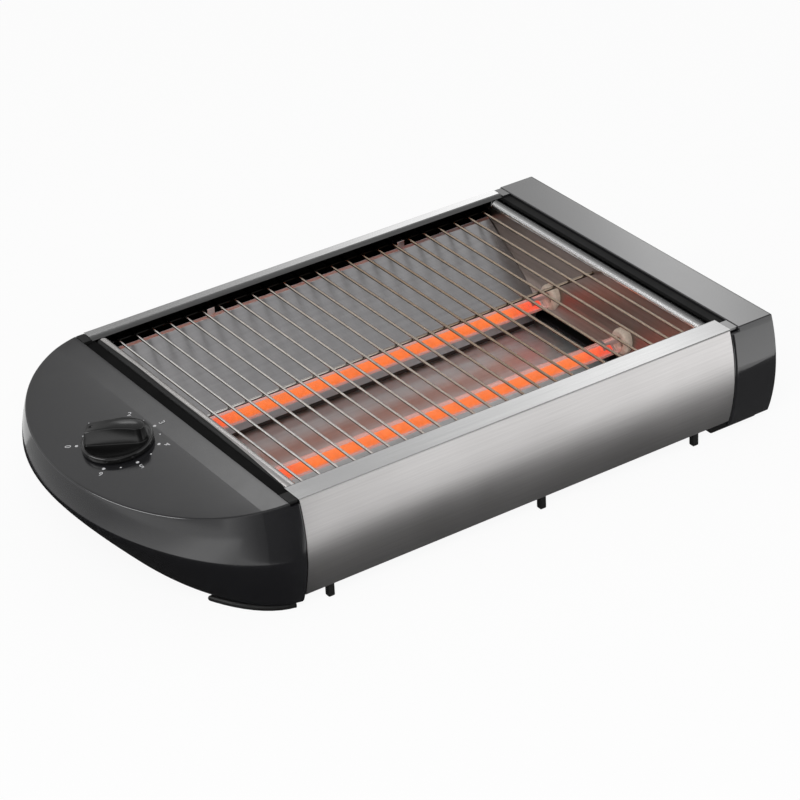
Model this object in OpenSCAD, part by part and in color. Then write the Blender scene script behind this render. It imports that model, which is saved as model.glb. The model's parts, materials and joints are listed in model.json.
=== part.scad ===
// Flat table toaster: a wire rack over two quartz heating tubes, brushed steel sides,
// a rounded control end with a rotary timer, and a crumb tray that pulls out of the far end.
// The front faces -Y, the control end -X, and the feet stand on Z = 0.

/* [Body] */
// Length of the toasting bed between the two end caps
bed_l = 290; // [250:1:340]
// Width of the body at its top edges
body_w = 228; // [210:1:260]
// Height of the side panels
panel_h = 60; // [58:1:70]
// How far the side panels bow outward at mid height
panel_bow = 5; // [3:0.5:8]
// Clear height under the side panels
foot_h = 8; // [7:0.5:12]
// Thickness of the steel sheets
sheet_t = 0.8; // [0.6:0.1:1.2]
// Gap at the seams between panels and caps
seam = 0.4; // [0.2:0.1:0.8]

/* [Base] */
// Thickness of the base plate
base_t = 1; // [0.8:0.1:1.5]
// Distance from the body's top edge to the edge of the base plate
base_inset = 1.5; // [1:0.5:3]
// Width of the hem folded in under each side panel
hem_w = 10; // [8:1:12]
// Length of a vent slot
vent_l = 18; // [12:1:22]
// Width of a vent slot
vent_w = 3.5; // [2:0.5:5]
// Pitch of the vent slots along the bed
vent_pitch = 26; // [24:1:34]
// Distance from a cap to the vents
vent_in = 30; // [28:1:50]
// Distance from the middle to the inner row of vents
vent_y = 76; // [72:1:80]
// Distance between the two rows of vents
vent_row = 10; // [7:1:12]

/* [Top rails] */
// Width of the flat rails along the top of the bed
rail_w = 11; // [9:0.5:14]
// Depth of the lip folded down from each rail
rail_lip = 1.6; // [1.2:0.2:4]
// How far a rail stands over the side panel
rail_over = 0.4; // [0:0.1:1]

/* [Control end] */
// Length of the control cap from the bed to its furthest point
control_l = 82; // [74:1:95]
// Wall of both caps
cap_wall = 2.5; // [2:0.5:3]
// How far both caps stand out beyond the side panels
cap_proud = 0.6; // [0.2:0.1:1]
// Width of the flatter strip of deck beside the bed
strip_w = 20; // [14:1:26]
// Fall of the deck across that strip
strip_drop = 1.5; // [0:0.5:3]
// Slope of the dial deck, in degrees
deck_tilt = 6.5; // [3:0.5:8]
// How far the skirt bulges past the rim of the deck at the tip
tip_bulge = 3; // [2:0.5:5]
// Depth of the skirt's lower edge below the top, at the tip
tip_edge_drop = 26; // [22:1:30]
// Depth of the skirt's lower edge below the top, beside the bed
side_edge_drop = 37; // [33:1:42]
// Length of the control cap at its bottom rim
rim_l = 55; // [50:1:62]
// Height of the caps' bottom rims above the table, beside the bed
rim_h = 4; // [2:0.5:6]
// Thickness of the cover under the control cap
cover_t = 2; // [1.6:0.2:3]
// Gap between the covers and the caps' walls
cover_gap = 1.2; // [0.4:0.2:2]
// Width of the ledge along the bed's end of each cap
ledge_w = 5.5; // [4:0.5:7]
// Depth of that ledge below the top
ledge_drop = 2.5; // [1.5:0.5:3]

/* [End cap] */
// Length of the plain end cap
end_cap_l = 30; // [26:1:40]

/* [Bed] */
// Radius of the bead along the top of each end plate
bead_r = 4; // [3.5:0.5:5]
// Depth of the bead's centre below the top
bead_drop = 4.5; // [4.5:0.5:6]
// Gap between the ends of a bead and the rails
bead_gap = 0.4; // [0.3:0.1:1]
// Lean of the end plates, in degrees
plate_lean = 15; // [12:1:17]
// Depth of the flange that fixes an end plate to its cap
plate_flange = 14; // [10:1:16]
// Thickness of the pad between a cap's wall and that flange
pad_t = 1.8; // [1.2:0.2:2.4]
// Distance from the body's top edge to the ends of each end plate
plate_inset = 4; // [3:0.5:5]
// Depth of the reflectors' top edges below the top
reflector_top_drop = 12; // [11:0.5:14]
// Depth of the reflectors' lower edges below the top
reflector_low_drop = 46; // [43:1:48]
// Distance between the reflectors' lower edges
reflector_gap = 88; // [80:1:100]
// Thickness of the reflectors
reflector_t = 0.6; // [0.5:0.1:1]
// Height of the lip along a reflector's top edge
reflector_lip = 2; // [1:0.5:2.5]
// Clearance between the ends of the reflectors and the end plates
reflector_clear = 0.2; // [0.1:0.1:0.4]
// Gap between the reflectors' toes and the crumb tray
toe_gap = 1; // [0.8:0.2:2]

/* [Rack] */
// Number of cross wires
wire_count = 24; // [20:2:26]
// Distance from a cap to the nearest cross wire
wire_in = 16.2; // [14:0.2:20]
// Diameter of the cross wires
wire_d = 1.6; // [1.2:0.2:2]
// Diameter of the long wires
long_wire_d = 2; // [1.6:0.2:2.4]
// Depth of the cross wires' centres below the top
rack_drop = 6; // [5.5:0.1:6.5]
// Distance from the body's top edge to the outer long wires
long_wire_inset = 8; // [7:0.5:9]
// How far the cross wires run past the outer long wires
wire_past = 4; // [2:0.5:5]
// How deep the cross wires are welded into the long ones
weld = 0.25; // [0.1:0.05:0.4]
// Radial clearance of the long wires in the end plates
wire_clear = 0.15; // [0.1:0.05:0.3]
// Width of the clips that hold the rack
clip_w = 5; // [3:0.5:6]
// Cross wire spaces between the middle and each clip
clip_step = 6; // [3:1:9]
// Gap between a clip and the wire that it holds
clip_gap = 0.2; // [0.1:0.1:0.4]

/* [Heating tubes] */
// Distance between the two tubes
tube_gap = 70; // [62:1:76]
// Depth of the tubes' axes below the top
tube_drop = 35; // [33:0.5:36]
// Outer diameter of the quartz tubes
tube_d = 10; // [9:0.5:12]
// Wall of the quartz tubes
tube_wall = 1; // [0.8:0.1:1.2]
// Distance from a cap to the end of a tube
tube_in = 24; // [23.5:0.5:28]
// Distance from a cap to the face of a ceramic
ceramic_in = 22; // [21:0.5:23]
// Diameter of the ceramics
ceramic_d = 15.5; // [14:0.5:17]
// Diameter of the ceramics' necks behind the end plates
neck_d = 9; // [7:0.5:10]
// Length of the ceramics' necks behind the end plates
neck_l = 6; // [4:0.5:8]
// How far a ceramic's nose reaches into its tube
nose_in = 6; // [4:0.5:8]
// Radial clearance of the ceramics in tubes and end plates
ceramic_clear = 0.3; // [0.2:0.05:0.4]
// Diameter of the terminal pins
pin_d = 2.5; // [2:0.5:3]
// Distance from a cap to the back of a terminal pin
pin_in = 4; // [2:0.5:6]
// Thickness of the collar on a terminal pin
collar_t = 1.5; // [1:0.5:2]
// Gap between a pin's collar and the ceramic
collar_gap = 0.2; // [0.1:0.1:0.5]
// Radial clearance of the pins in the ceramics
pin_clear = 0.1; // [0.05:0.05:0.2]
// Turns of each heating coil
coil_turns = 40; // [20:1:44]
// Diameter of the heating coil at the middle of its wire
coil_d = 5.6; // [5:0.1:6]
// Diameter of the heating wire
coil_wire_d = 1; // [0.8:0.1:1.2]

/* [Crumb tray] */
// Width of the crumb tray
tray_w = 120; // [100:1:130]
// Height of the crumb tray
tray_h = 6; // [5:0.5:7]
// Distance from the foot of the left end plate to the crumb tray
tray_gap = 2; // [1:0.5:10]
// Clearance round the tray where it slides
slide_clear = 0.4; // [0.3:0.1:0.6]
// Distance from the end cap to the edge of the tray's pull
pull_in = 16; // [12:1:20]
// Overlap of the pull on the tray's floor
pull_lap = 8; // [5:1:10]
// Thickness of the pull's tongue
pull_t = 2.7; // [2:0.1:3]
// Gap between the pull's tongue and the tray's sides
pull_gap = 0.2; // [0.1:0.1:0.4]
// Height of the pull's front
pull_h = 11; // [10:0.5:12]
// Thickness of the pull's front
pull_front_t = 3; // [2:0.5:4]
// Width of the finger slot in the pull
finger_w = 40; // [30:1:60]
// Height of the bar over the finger slot
finger_bar = 2; // [1.5:0.5:2.5]
// How far the opening for the tray runs past its sides
window_past = 3; // [2:0.5:5]
// Thickness of the tray's runners
runner_t = 1; // [0.8:0.1:1.5]
// Height of the tray's runners
runner_h = 4; // [3:0.5:6]

/* [Timer] */
// Distance from the bed to the timer's axis
knob_in = 43; // [41:1:46]
// Diameter of the knob
knob_d = 40; // [36:1:42]
// Thickness of the knob's disc
disc_t = 2.6; // [2:0.2:4]
// Width of the raised rim round the disc
knob_rim = 3; // [2:0.5:4]
// Height of the raised rim
knob_lip = 1; // [0.6:0.2:1.6]
// Height of the grip above the disc
grip_h = 10.5; // [8:0.5:14]
// Width of the grip at its foot
grip_w = 10; // [8:0.5:12]
// Taper of each side of the grip and of the rim
grip_draft = 0.8; // [0.4:0.2:1.2]
// Radius of the grip's arched top
grip_arch = 60; // [40:1:90]
// Diameter of the pointer's dimple
dimple_d = 2.4; // [2:0.2:3]
// Depth of the pointer's dimple below the top of the arch
dimple_deep = 1.9; // [1.8:0.1:3]
// Gap under the knob
knob_gap = 0.4; // [0.3:0.1:1]
// Direction of the zero mark, in degrees from +X
zero_angle = 140; // [120:1:160]
// Diameter of the timer's shaft
shaft_d = 6; // [5:0.5:7]
// Depth of the flat on the shaft
shaft_flat = 0.7; // [0.4:0.1:1]
// Length of the shaft inside the timer
shaft_down = 8; // [6:0.5:12]
// Thickness of the grip over the end of the shaft
shaft_roof = 4; // [3:0.5:6]
// Radial running clearance of the shaft
shaft_clear = 0.05; // [0.02:0.01:0.1]
// Gap past both ends of the shaft
shaft_end_gap = 0.4; // [0.3:0.1:0.6]
// Clearance of the shaft in the deck
deck_clear = 0.8; // [0.5:0.1:1.5]
// Size of the timer's housing along the bed
timer_l = 40; // [34:1:44]
// Size of the timer's housing across the bed
timer_w = 36; // [32:1:40]
// Height of the timer's housing
timer_h = 22; // [18:1:24]
// Distance from the timer's axis to its screws
timer_screw_y = 12; // [10:0.5:13]
// Diameter of the bell
bell_d = 28; // [24:1:32]
// Height of the bell
bell_h = 4; // [3:0.5:6]
// Wall of the bell
bell_t = 0.8; // [0.6:0.1:1]
// Diameter of the bell's flat crown
bell_crown_d = 8; // [6:0.5:10]
// Diameter of the bell's stem
bell_stem_d = 4; // [3:0.5:5]
// Length of the bell's stem
bell_stem_l = 2; // [1:0.5:3]
// Length of the timer's contact tabs
tab_l = 9; // [7:0.5:10]
// Width of the timer's contact tabs
tab_blade_w = 6.3; // [4.8:0.1:7]
// Thickness of the timer's contact tabs
tab_t = 0.8; // [0.5:0.1:1]
// Distance from the middle to the contact tabs
tab_y = 9; // [7:0.5:12]

/* [Feet and fixings] */
// Width of the tab feet
tab_foot_w = 4; // [3:0.5:6]
// Depth of the tab feet
tab_foot_d = 4; // [3:0.5:9]
// Distance from the control cap to the first tab foot
tab_foot_in = 17; // [14:1:24]
// Distance from the bed's middle to the second tab foot
tab_foot_mid = 12.5; // [0:0.5:20]
// Distance from the end cap to the third tab foot
tab_foot_end = 24; // [20:1:28]
// Width of the feet under the end cap
end_foot_w = 16; // [12:1:20]
// How far the feet under the end cap reach under the bed
end_foot_in = 14; // [10:1:16]
// Slant of the inner ends of those feet
end_foot_slant = 5; // [2:1:8]
// Distance from the middle to the feet under the control cap
control_foot_y = 76; // [70:1:84]
// Height of the wider pads under those feet
foot_pad_h = 3.4; // [2:0.2:3.6]
// Distance that the pads stand out past the feet
foot_pad_out = 3; // [1:0.5:3]
// Distance from the edge of a cover to its feet
foot_inset = 2; // [1:0.5:4]
// Diameter of the screws
screw_d = 3; // [2.5:0.5:3.5]
// Diameter of the screw heads
head_d = 5.6; // [5:0.2:6.4]
// Height of the screw heads
head_h = 1.6; // [1.2:0.1:2]
// Clearance between a screw and its hole
screw_clear = 0.15; // [0.1:0.05:0.3]
// Depth of the screw holes in posts and in the timer
screw_deep = 7; // [5:0.5:9]
// Free depth past the tips of the screws
screw_free = 1; // [0.5:0.5:2]
// Depth of the timer screws' heads below the deck
head_sink = 0.2; // [0.1:0.1:0.5]
// Grip of the screws through the hems
hem_grip = 4; // [3:0.5:5]
// Distance from the body's top edge to the hem screws
hem_screw_inset = 5; // [4:0.5:6]
// Distance from a cap to the outer hem screws
hem_screw_in = 38; // [34:1:44]
// Distance from the bed's middle to the middle hem screw
hem_screw_mid = 24; // [16:1:30]
// Diameter of the posts in the caps
post_d = 8; // [7:0.5:9]
// Distance from the bed to the posts in the control cap
post_u = 16; // [12:1:17]
// Distance from the middle to the posts in the control cap
post_y = 60; // [58:1:68]
// Distance from the middle to the posts in the end cap
end_post_y = 82; // [76:1:86]
// Distance from the middle to the screws of the end plates
plate_screw_y = 78; // [72:1:84]

/* [Mains parts] */
// Diameter of the cable hole in the cord gland
gland_bore = 7.2; // [6:0.2:8]
// Wall of the cord gland
gland_wall = 2.4; // [2:0.2:3]
// Distance from the bed to the cord gland
gland_u = 14; // [13:1:18]
// Height of the cord gland
gland_z = 26; // [24:1:30]
// How far the gland's seat stands out past the body's top edge
gland_out = 2; // [1.5:0.5:3]
// Length of the gland inside the body's top edge
gland_in = 12; // [10:1:16]
// Wall of the seat round the gland's flange
seat_wall = 2.4; // [2:0.2:3]
// How far the gland's flange runs past its body
flange_past = 2.5; // [2:0.5:3]
// Thickness of the gland's flange
flange_t = 2; // [1.5:0.5:2.5]
// Length of the terminal block
block_l = 16; // [14:1:18]
// Width of the terminal block
block_w = 24; // [20:1:28]
// Height of the terminal block
block_h = 12; // [10:1:14]
// Distance from the bed to the middle of the terminal block
block_u = 22; // [20:1:26]
// Distance from the middle to the terminal block
block_y = 38; // [36:1:40]
// Diameter of the wells in the terminal block
well_d = 4; // [3:0.5:5]
// Depth of the wells in the terminal block
well_deep = 5; // [4:0.5:7]
// Diameter of the insulated leads inside
lead_d = 2.4; // [2:0.2:2.8]

/* [Hidden] */
$fn = 64;
arc_fn = 180;

// How far cuts run past the faces that they open, and the lap of joined solids
past = 1;
lap = 0.01;

// Places along the length: bed from x0 to x1, control tip at -total_l / 2, end face at xr
total_l = control_l + bed_l + end_cap_l;
x0 = control_l - total_l / 2;
x1 = x0 + bed_l;
xr = x1 + end_cap_l;
bed_x = (x0 + x1) / 2;
half_w = body_w / 2;
top_z = foot_h + panel_h;
mid_z = foot_h + panel_h / 2;

// Bowed sides: one arc through the top and bottom edges of a panel
bow_r = (panel_h * panel_h / 4 + panel_bow * panel_bow) / (2 * panel_bow);
bow_c = half_w + panel_bow - bow_r;
function side_y(z) = bow_c + sqrt(bow_r * bow_r - (z - mid_z) * (z - mid_z));

// Heights of the floor pieces
base_z = foot_h + sheet_t;
floor_z = base_z + base_t;
cover_z = foot_h + cover_t;
tray_z = floor_z + slide_clear;

// Deck of the control cap: its height at a distance u from the bed
function deck_z(u) = u < strip_w
    ? top_z - strip_drop * u / strip_w
    : top_z - strip_drop - (u - strip_w) * tan(deck_tilt);
deck_l = control_l - tip_bulge;
deck_skin = cap_wall / cos(deck_tilt);

// End plates, measured from the face of the nearer cap
bead_z = top_z - bead_drop;
bead_in = pad_t + bead_r;
bead_half = half_w - rail_w - bead_gap;
function plate_face(z) = bead_in + bead_r + (bead_z - z) * tan(plate_lean);
plate_half = half_w - plate_inset;
ledge_z = top_z - ledge_drop;
reflector_top_z = top_z - reflector_top_drop;
reflector_low_z = top_z - reflector_low_drop;
reflector_top_y = half_w - rail_w;

// Rack
wire_pitch = (bed_l - 2 * wire_in) / (wire_count - 1);
rack_z = top_z - rack_drop;
long_z = rack_z - wire_d / 2 - long_wire_d / 2 + weld;
long_y = half_w - long_wire_inset;

// Heating tubes
tube_y = tube_gap / 2;
tube_z = top_z - tube_drop;
tube_bore = tube_d - 2 * tube_wall;
nose_d = tube_bore - 2 * ceramic_clear;
nose_end = tube_in + nose_in;
collar_from = nose_end + collar_gap;
collar_d = coil_d + coil_wire_d;
coil_in = collar_from + collar_t;

// Tray and its way out
tray_half = tray_w / 2;
tray_in = plate_face(floor_z) + tray_gap;
toe_y = reflector_gap / 2;
toe_z = tray_z + sheet_t + toe_gap;
pull_z = tray_z + sheet_t;
slot_z = tray_z - slide_clear;
window_half = tray_half + window_past;

// Timer, measured from the point where its axis meets the deck
knob_z = deck_z(knob_in);
shaft_up = knob_gap + disc_t + grip_h - shaft_roof;
tab_drop = cap_wall + timer_h / 2;

// Covers and fixings
cover_l = rim_l - cap_wall - cover_gap;
cover_half = side_y(foot_h) + cap_proud - cap_wall - cover_gap;
end_post_x = x1 + end_cap_l / 2;
hem_screw_y = half_w - hem_screw_inset;
hem_screw_x = [x0 + hem_screw_in, bed_x - hem_screw_mid, x1 - hem_screw_in];
tab_foot_x = [x0 + tab_foot_in, bed_x + tab_foot_mid, x1 - tab_foot_end];
plate_screw_z = bead_z - plate_flange / 2;
hole_d = screw_d + 2 * screw_clear;

// Cord gland at the back of the control cap
gland_d = gland_bore + 2 * gland_wall;
gland_face = half_w + gland_out;
gland_back = half_w - gland_in;
flange_d = gland_d + 2 * flange_past;
seat_d = flange_d + 2 * screw_clear;

// Placing helpers
module along_x(a, b) { translate([a, 0, 0]) rotate([90, 0, 90]) linear_extrude(b - a) children(); }
module along_y(a, b) { translate([0, b, 0]) rotate([90, 0, 0]) linear_extrude(b - a) children(); }
module rod_x(a, b, y, z, d) { translate([a, y, z]) rotate([0, 90, 0]) cylinder(d = d, h = b - a); }
module rod_y(a, b, x, z, d) { translate([x, a, z]) rotate([-90, 0, 0]) cylinder(d = d, h = b - a); }
module rod_z(a, b, x, y, d) { translate([x, y, a]) cylinder(d = d, h = b - a); }
module block_at(a, b) { translate(a) cube(b - a); }
module to_front() { mirror([0, 1, 0]) children(); }
module from_left() { translate([x0, 0, 0]) children(); }
module from_right() { translate([x1, 0, 0]) mirror([1, 0, 0]) children(); }
module on_deck() { translate([x0 - knob_in, 0, knob_z]) rotate([0, -deck_tilt, 0]) children(); }
module both_sides() {
    children();
    to_front() children();
}
module both_ends() {
    from_left() children();
    from_right() children();
}

// A tube of n sides along points p, with one outward normal for each point
function unit(v) = v / norm(v);
function step_from(p, i) = i < len(p) - 1 ? unit(p[i + 1] - p[i]) : [0, 0, 0];
function course(p, i) = unit(step_from(p, i) + (i > 0 ? step_from(p, i - 1) : [0, 0, 0]));
function square_to(v, t) = unit(v - (v * t) * t);
module tube(p, normals, d, n) {
    last = len(p) - 1;
    rings = [for (i = [0:last]) let (t = course(p, i), a = square_to(normals[i], t), b = cross(t, a))
        for (k = [0:n - 1]) p[i] + d / 2 * (a * cos(360 * k / n) + b * sin(360 * k / n))];
    sides = [for (i = [0:last - 1]) for (k = [0:n - 1]) let (a = i * n + k, b = i * n + (k + 1) % n)
        each [[a, a + n, b], [b, a + n, b + n]]];
    starts = [for (k = [1:n - 2]) [0, k, k + 1]];
    ends = [for (k = [1:n - 2]) [last * n, last * n + k + 1, last * n + k]];
    polyhedron(rings, concat(sides, starts, ends));
}
lead_sides = 8;
lead_normal = [0.36, 0.48, 0.8];
module lead(p) { tube(p, [for (q = p) lead_normal], lead_d, lead_sides); }

// Ledge at the bed's end of a cap and the pad for its end plate, with the bed toward +X
module ledge_solid() {
    block_at([-ledge_w - cap_wall, -half_w, ledge_z - cap_wall],
        [-cap_wall / 2, half_w, ledge_z + cap_wall / 2]);
    block_at([-cap_wall / 2, -bead_half, bead_z - plate_flange], [pad_t, bead_half, ledge_z]);
}
module ledge_cut() {
    block_at([-ledge_w, -body_w, ledge_z], [pad_t + past, body_w, top_z + past]);
}
module wall_holes() {
    both_sides() {
        rod_x(-cap_wall - past, past, tube_y, tube_z, neck_d);
        rod_x(-cap_wall - past, pad_t + past, plate_screw_y, plate_screw_z, hole_d);
    }
}

// Control cap: half ellipses stacked from above the deck down to the rim, counted down by k
skirt_steps = 40;
zone_steps = 5;
rim_level = 2 * zone_steps;
rim_curve = 1.15;
function mix(a, b, t) = a + (b - a) * t;
function side_at(k) = k <= zone_steps
    ? mix(top_z, top_z - side_edge_drop, k / zone_steps)
    : mix(top_z - side_edge_drop, rim_h, (k - zone_steps) / zone_steps);
function tip_at(k) = k <= zone_steps
    ? mix(deck_z(deck_l), top_z - tip_edge_drop, k / zone_steps)
    : mix(top_z - tip_edge_drop, foot_h, (k - zone_steps) / zone_steps);
function reach_at(k) = k <= zone_steps
    ? deck_l + tip_bulge * sin(90 * k / zone_steps)
    : mix(control_l, rim_l, pow((k - zone_steps) / zone_steps, rim_curve));
function half_turn(i) = 180 * i / skirt_steps - 90;
function skirt_ring(k, inset) = [for (i = [0:skirt_steps]) let (a = half_turn(i))
    [-(reach_at(k) - inset) * cos(a), (side_y(side_at(k)) + cap_proud - inset) * sin(a),
        mix(side_at(k), tip_at(k), cos(a))]];
module skirt_solid(inset) {
    n = skirt_steps + 1;
    levels = [for (k = [0:rim_level]) inset > 0 && k == rim_level ? k + 1 : k];
    above = [for (p = skirt_ring(0, inset)) [p[0], p[1], top_z + past]];
    stack = concat(above, [for (k = levels) each skirt_ring(k, inset)]);
    rows = len(levels) + 1;
    sides = [for (k = [0:rows - 2]) for (i = [0:n - 2]) let (a = k * n + i)
        each [[a, a + n, a + 1], [a + 1, a + n, a + n + 1]]];
    back = [for (k = [0:rows - 2]) let (a = k * n)
        each [[a, a + n - 1, a + n], [a + n, a + n - 1, a + 2 * n - 1]]];
    top = [[for (i = [0:n - 1]) i]];
    bottom = [[for (i = [n - 1:-1:0]) (rows - 1) * n + i]];
    polyhedron(stack, concat(sides, back, top, bottom));
}
module under_deck(drop, u_from) {
    far = control_l + cap_wall;
    low = -foot_h;
    along_y(-body_w, body_w) polygon([
        [-u_from, low], [-far, low], [-far, deck_z(far) - drop],
        [-strip_w, deck_z(strip_w) - drop], [-u_from, deck_z(u_from) - drop]]);
}
module control_shell() {
    difference() {
        intersection() {
            skirt_solid(0);
            under_deck(0, -cap_wall);
        }
        intersection() {
            skirt_solid(cap_wall);
            under_deck(deck_skin, cap_wall);
        }
    }
}
module timer_holes() {
    both_sides() {
        rod_z(-2 * cap_wall, cap_wall, 0, timer_screw_y, hole_d);
        rod_z(-head_h / 2 - head_sink, cap_wall, 0, timer_screw_y, head_d + 2 * screw_clear);
    }
    rod_z(-2 * cap_wall, cap_wall, 0, 0, shaft_d + 2 * deck_clear);
}
module control_cap() {
    color([0.2, 0.2, 0.21]) from_left() difference() {
        union() {
            control_shell();
            ledge_solid();
            both_sides() rod_z(cover_z, deck_z(post_u) - cap_wall / 2, -post_u, post_y, post_d);
            rod_y(gland_back + flange_t, gland_face, -gland_u, gland_z, seat_d + 2 * seat_wall);
        }
        ledge_cut();
        wall_holes();
        both_sides() rod_z(cover_z - lap, cover_z + screw_deep, -post_u, post_y, screw_d);
        rod_y(gland_back, gland_face + past, -gland_u, gland_z, gland_d + 2 * screw_clear);
        rod_y(gland_face, body_w, -gland_u, gland_z, seat_d);
        translate([-x0, 0, 0]) on_deck() timer_holes();
    }
}
module half_oval(l, w) {
    polygon([for (i = [0:skirt_steps]) [-l * cos(half_turn(i)), w * sin(half_turn(i))]]);
}
module beside_bed(y_from) {
    translate([-control_l, y_from]) square([control_l - cap_wall - cover_gap, body_w]);
}
module control_cover() {
    color([0.08, 0.08, 0.08]) from_left() difference() {
        translate([0, 0, foot_h]) linear_extrude(cover_t) intersection() {
            half_oval(cover_l, cover_half);
            beside_bed(-half_w);
        }
        both_sides() rod_z(0, top_z, -post_u, post_y, hole_d);
    }
}
module control_feet() {
    color([0.05, 0.05, 0.05]) from_left() both_sides() {
        linear_extrude(foot_h) foot_shape(0);
        linear_extrude(foot_pad_h) foot_shape(foot_pad_out);
    }
}
module foot_shape(out) {
    intersection() {
        half_oval(cover_l - foot_inset + out, cover_half - foot_inset + out);
        beside_bed(control_foot_y);
    }
}

// End cap: the side panels' own section, closed at the top and the end
module side_circle(y, r) { translate([y, mid_z]) circle(r = r, $fn = arc_fn); }
module cap_section(inset, z_from, z_to) {
    intersection() {
        union() {
            side_circle(bow_c, bow_r + cap_proud - inset);
            side_circle(-bow_c, bow_r + cap_proud - inset);
        }
        translate([-body_w, z_from]) square([2 * body_w, z_to - z_from]);
    }
}
module end_cap() {
    slot_half = tray_half + 2 * slide_clear;
    wall_to = x1 + cap_wall + past;
    color([0.27, 0.27, 0.28]) difference() {
        union() {
            difference() {
                along_x(x1, xr) cap_section(0, rim_h, top_z);
                along_x(x1 + cap_wall, xr - cap_wall) cap_section(cap_wall, rim_h - past, top_z - cap_wall);
            }
            from_right() ledge_solid();
            both_sides() rod_z(floor_z, top_z - cap_wall / 2, end_post_x, end_post_y, post_d);
        }
        from_right() ledge_cut();
        from_right() wall_holes();
        along_x(x1 - past, wall_to) cap_section(cap_wall, rim_h - past, foot_h);
        block_at([x1 - past, -window_half, foot_h - past], [wall_to, window_half, reflector_low_z]);
        block_at([xr - cap_wall - past, -slot_half, slot_z],
            [xr + past, slot_half, slot_z + pull_h + 2 * slide_clear]);
        both_sides() rod_z(floor_z - lap, floor_z + screw_deep, end_post_x, end_post_y, screw_d);
    }
}
module end_cover() {
    in = cap_wall + cover_gap;
    color([0.08, 0.08, 0.08]) difference() {
        block_at([x1 + in, -cover_half, foot_h], [xr - in, cover_half, floor_z]);
        both_sides() rod_z(0, top_z, end_post_x, end_post_y, hole_d);
    }
}
module end_feet() {
    outer = cover_half - foot_inset;
    end = xr - cap_wall - cover_gap - foot_inset;
    color([0.05, 0.05, 0.05]) both_sides() along_y(outer - end_foot_w, outer) polygon([
        [x1 - end_foot_in, foot_h], [x1 - end_foot_in + end_foot_slant, 0], [end, 0], [end, foot_h]]);
}

// Steel sides, rails and base
module panel_section() {
    intersection() {
        difference() {
            side_circle(bow_c, bow_r);
            side_circle(bow_c, bow_r - sheet_t);
        }
        translate([half_w / 2, foot_h]) square([body_w, panel_h - sheet_t]);
    }
    translate([half_w - hem_w, foot_h]) square([hem_w - sheet_t / 2, sheet_t]);
}
module hem_holes(d) { for (x = hem_screw_x) rod_z(0, top_z - foot_h, x, hem_screw_y, d); }
module side_panel() {
    color([0.75, 0.73, 0.72]) difference() {
        along_x(x0 + seam, x1 - seam) panel_section();
        hem_holes(hole_d);
    }
}
module front_panel() { to_front() side_panel(); }
module rear_panel() { side_panel(); }
module top_rail() {
    color([0.8, 0.8, 0.8]) along_x(x0, x1) {
        translate([half_w - rail_w, top_z - sheet_t]) square([rail_w + rail_over, sheet_t]);
        translate([half_w - rail_w, top_z - rail_lip]) square([sheet_t, rail_lip]);
    }
}
module front_rail() { to_front() top_rail(); }
module rear_rail() { top_rail(); }
module base_plate() {
    half = half_w - base_inset;
    vents = floor((bed_l / 2 - vent_in - vent_l / 2) / vent_pitch);
    color([0.5, 0.5, 0.5]) difference() {
        block_at([x0 + seam, -half, base_z], [x1 - seam, half, floor_z]);
        both_sides() hem_holes(screw_d);
        both_sides() for (i = [-vents:vents]) for (y = [vent_y, vent_y + vent_row])
            translate([bed_x + i * vent_pitch - vent_l / 2, y, 0]) cube([vent_l, vent_w, top_z]);
    }
}
module tab_feet() {
    outer = half_w - sheet_t / 2;
    color([0.05, 0.05, 0.05]) both_sides() for (x = tab_foot_x)
        block_at([x - tab_foot_w / 2, outer - tab_foot_d, 0], [x + tab_foot_w / 2, outer, foot_h]);
}

// End plates of the bed: a bead along the top, a flange on the cap and a leaning sheet
module plate_bead() {
    translate([bead_in, bead_z]) intersection() {
        difference() {
            circle(r = bead_r);
            circle(r = bead_r - sheet_t);
        }
        translate([-bead_r - past, 0]) square(2 * (bead_r + past));
    }
}
module plate_sheet() {
    high = bead_z + sheet_t / 2;
    polygon([[plate_face(high) - sheet_t, high], [plate_face(high), high],
        [plate_face(floor_z), floor_z], [plate_face(floor_z) - sheet_t, floor_z]]);
}
module end_plate() {
    color([0.62, 0.6, 0.58]) difference() {
        union() {
            along_y(-bead_half, bead_half) plate_bead();
            along_y(-plate_half, plate_half) plate_sheet();
            block_at([pad_t, -bead_half, bead_z - plate_flange],
                [pad_t + sheet_t, bead_half, bead_z + sheet_t / 2]);
        }
        for (y = [-long_y, 0, long_y]) rod_x(bead_in, tube_in, y, long_z, long_wire_d + 2 * wire_clear);
        both_sides() {
            rod_x(bead_in, tube_in, tube_y, tube_z, neck_d + 2 * ceramic_clear);
            rod_x(-past, bead_in, plate_screw_y, plate_screw_z, screw_d);
        }
    }
}
module left_end_plate() { from_left() end_plate(); }
module right_end_plate() {
    from_right() difference() {
        end_plate();
        block_at([-past, -window_half, floor_z - past],
            [plate_face(floor_z) + past, window_half, reflector_low_z]);
    }
}

// Reflectors: sloping mirror sheets with toes down to the tray, cut to meet the leaning end plates
module reflector() {
    back_y = reflector_top_y + reflector_t;
    lip_z = reflector_top_z + reflector_lip;
    cut_z = toe_z - reflector_t;
    heel_y = toe_y + reflector_t;
    cut_in = plate_face(cut_z) + reflector_clear;
    top_in = plate_face(bead_z) + reflector_clear;
    color([0.6, 0.59, 0.6]) intersection() {
        along_x(x0, x1) polygon([
            [toe_y, toe_z], [toe_y, reflector_low_z], [reflector_top_y, reflector_top_z],
            [reflector_top_y, lip_z], [back_y, lip_z], [back_y, reflector_top_z - reflector_t],
            [heel_y, reflector_low_z - reflector_t / 2], [heel_y, toe_z]]);
        along_y(0, body_w) polygon([
            [x0 + cut_in, cut_z], [x1 - cut_in, cut_z], [x1 - top_in, bead_z], [x0 + top_in, bead_z]]);
    }
}
module front_reflector() { to_front() reflector(); }
module rear_reflector() { reflector(); }

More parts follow.
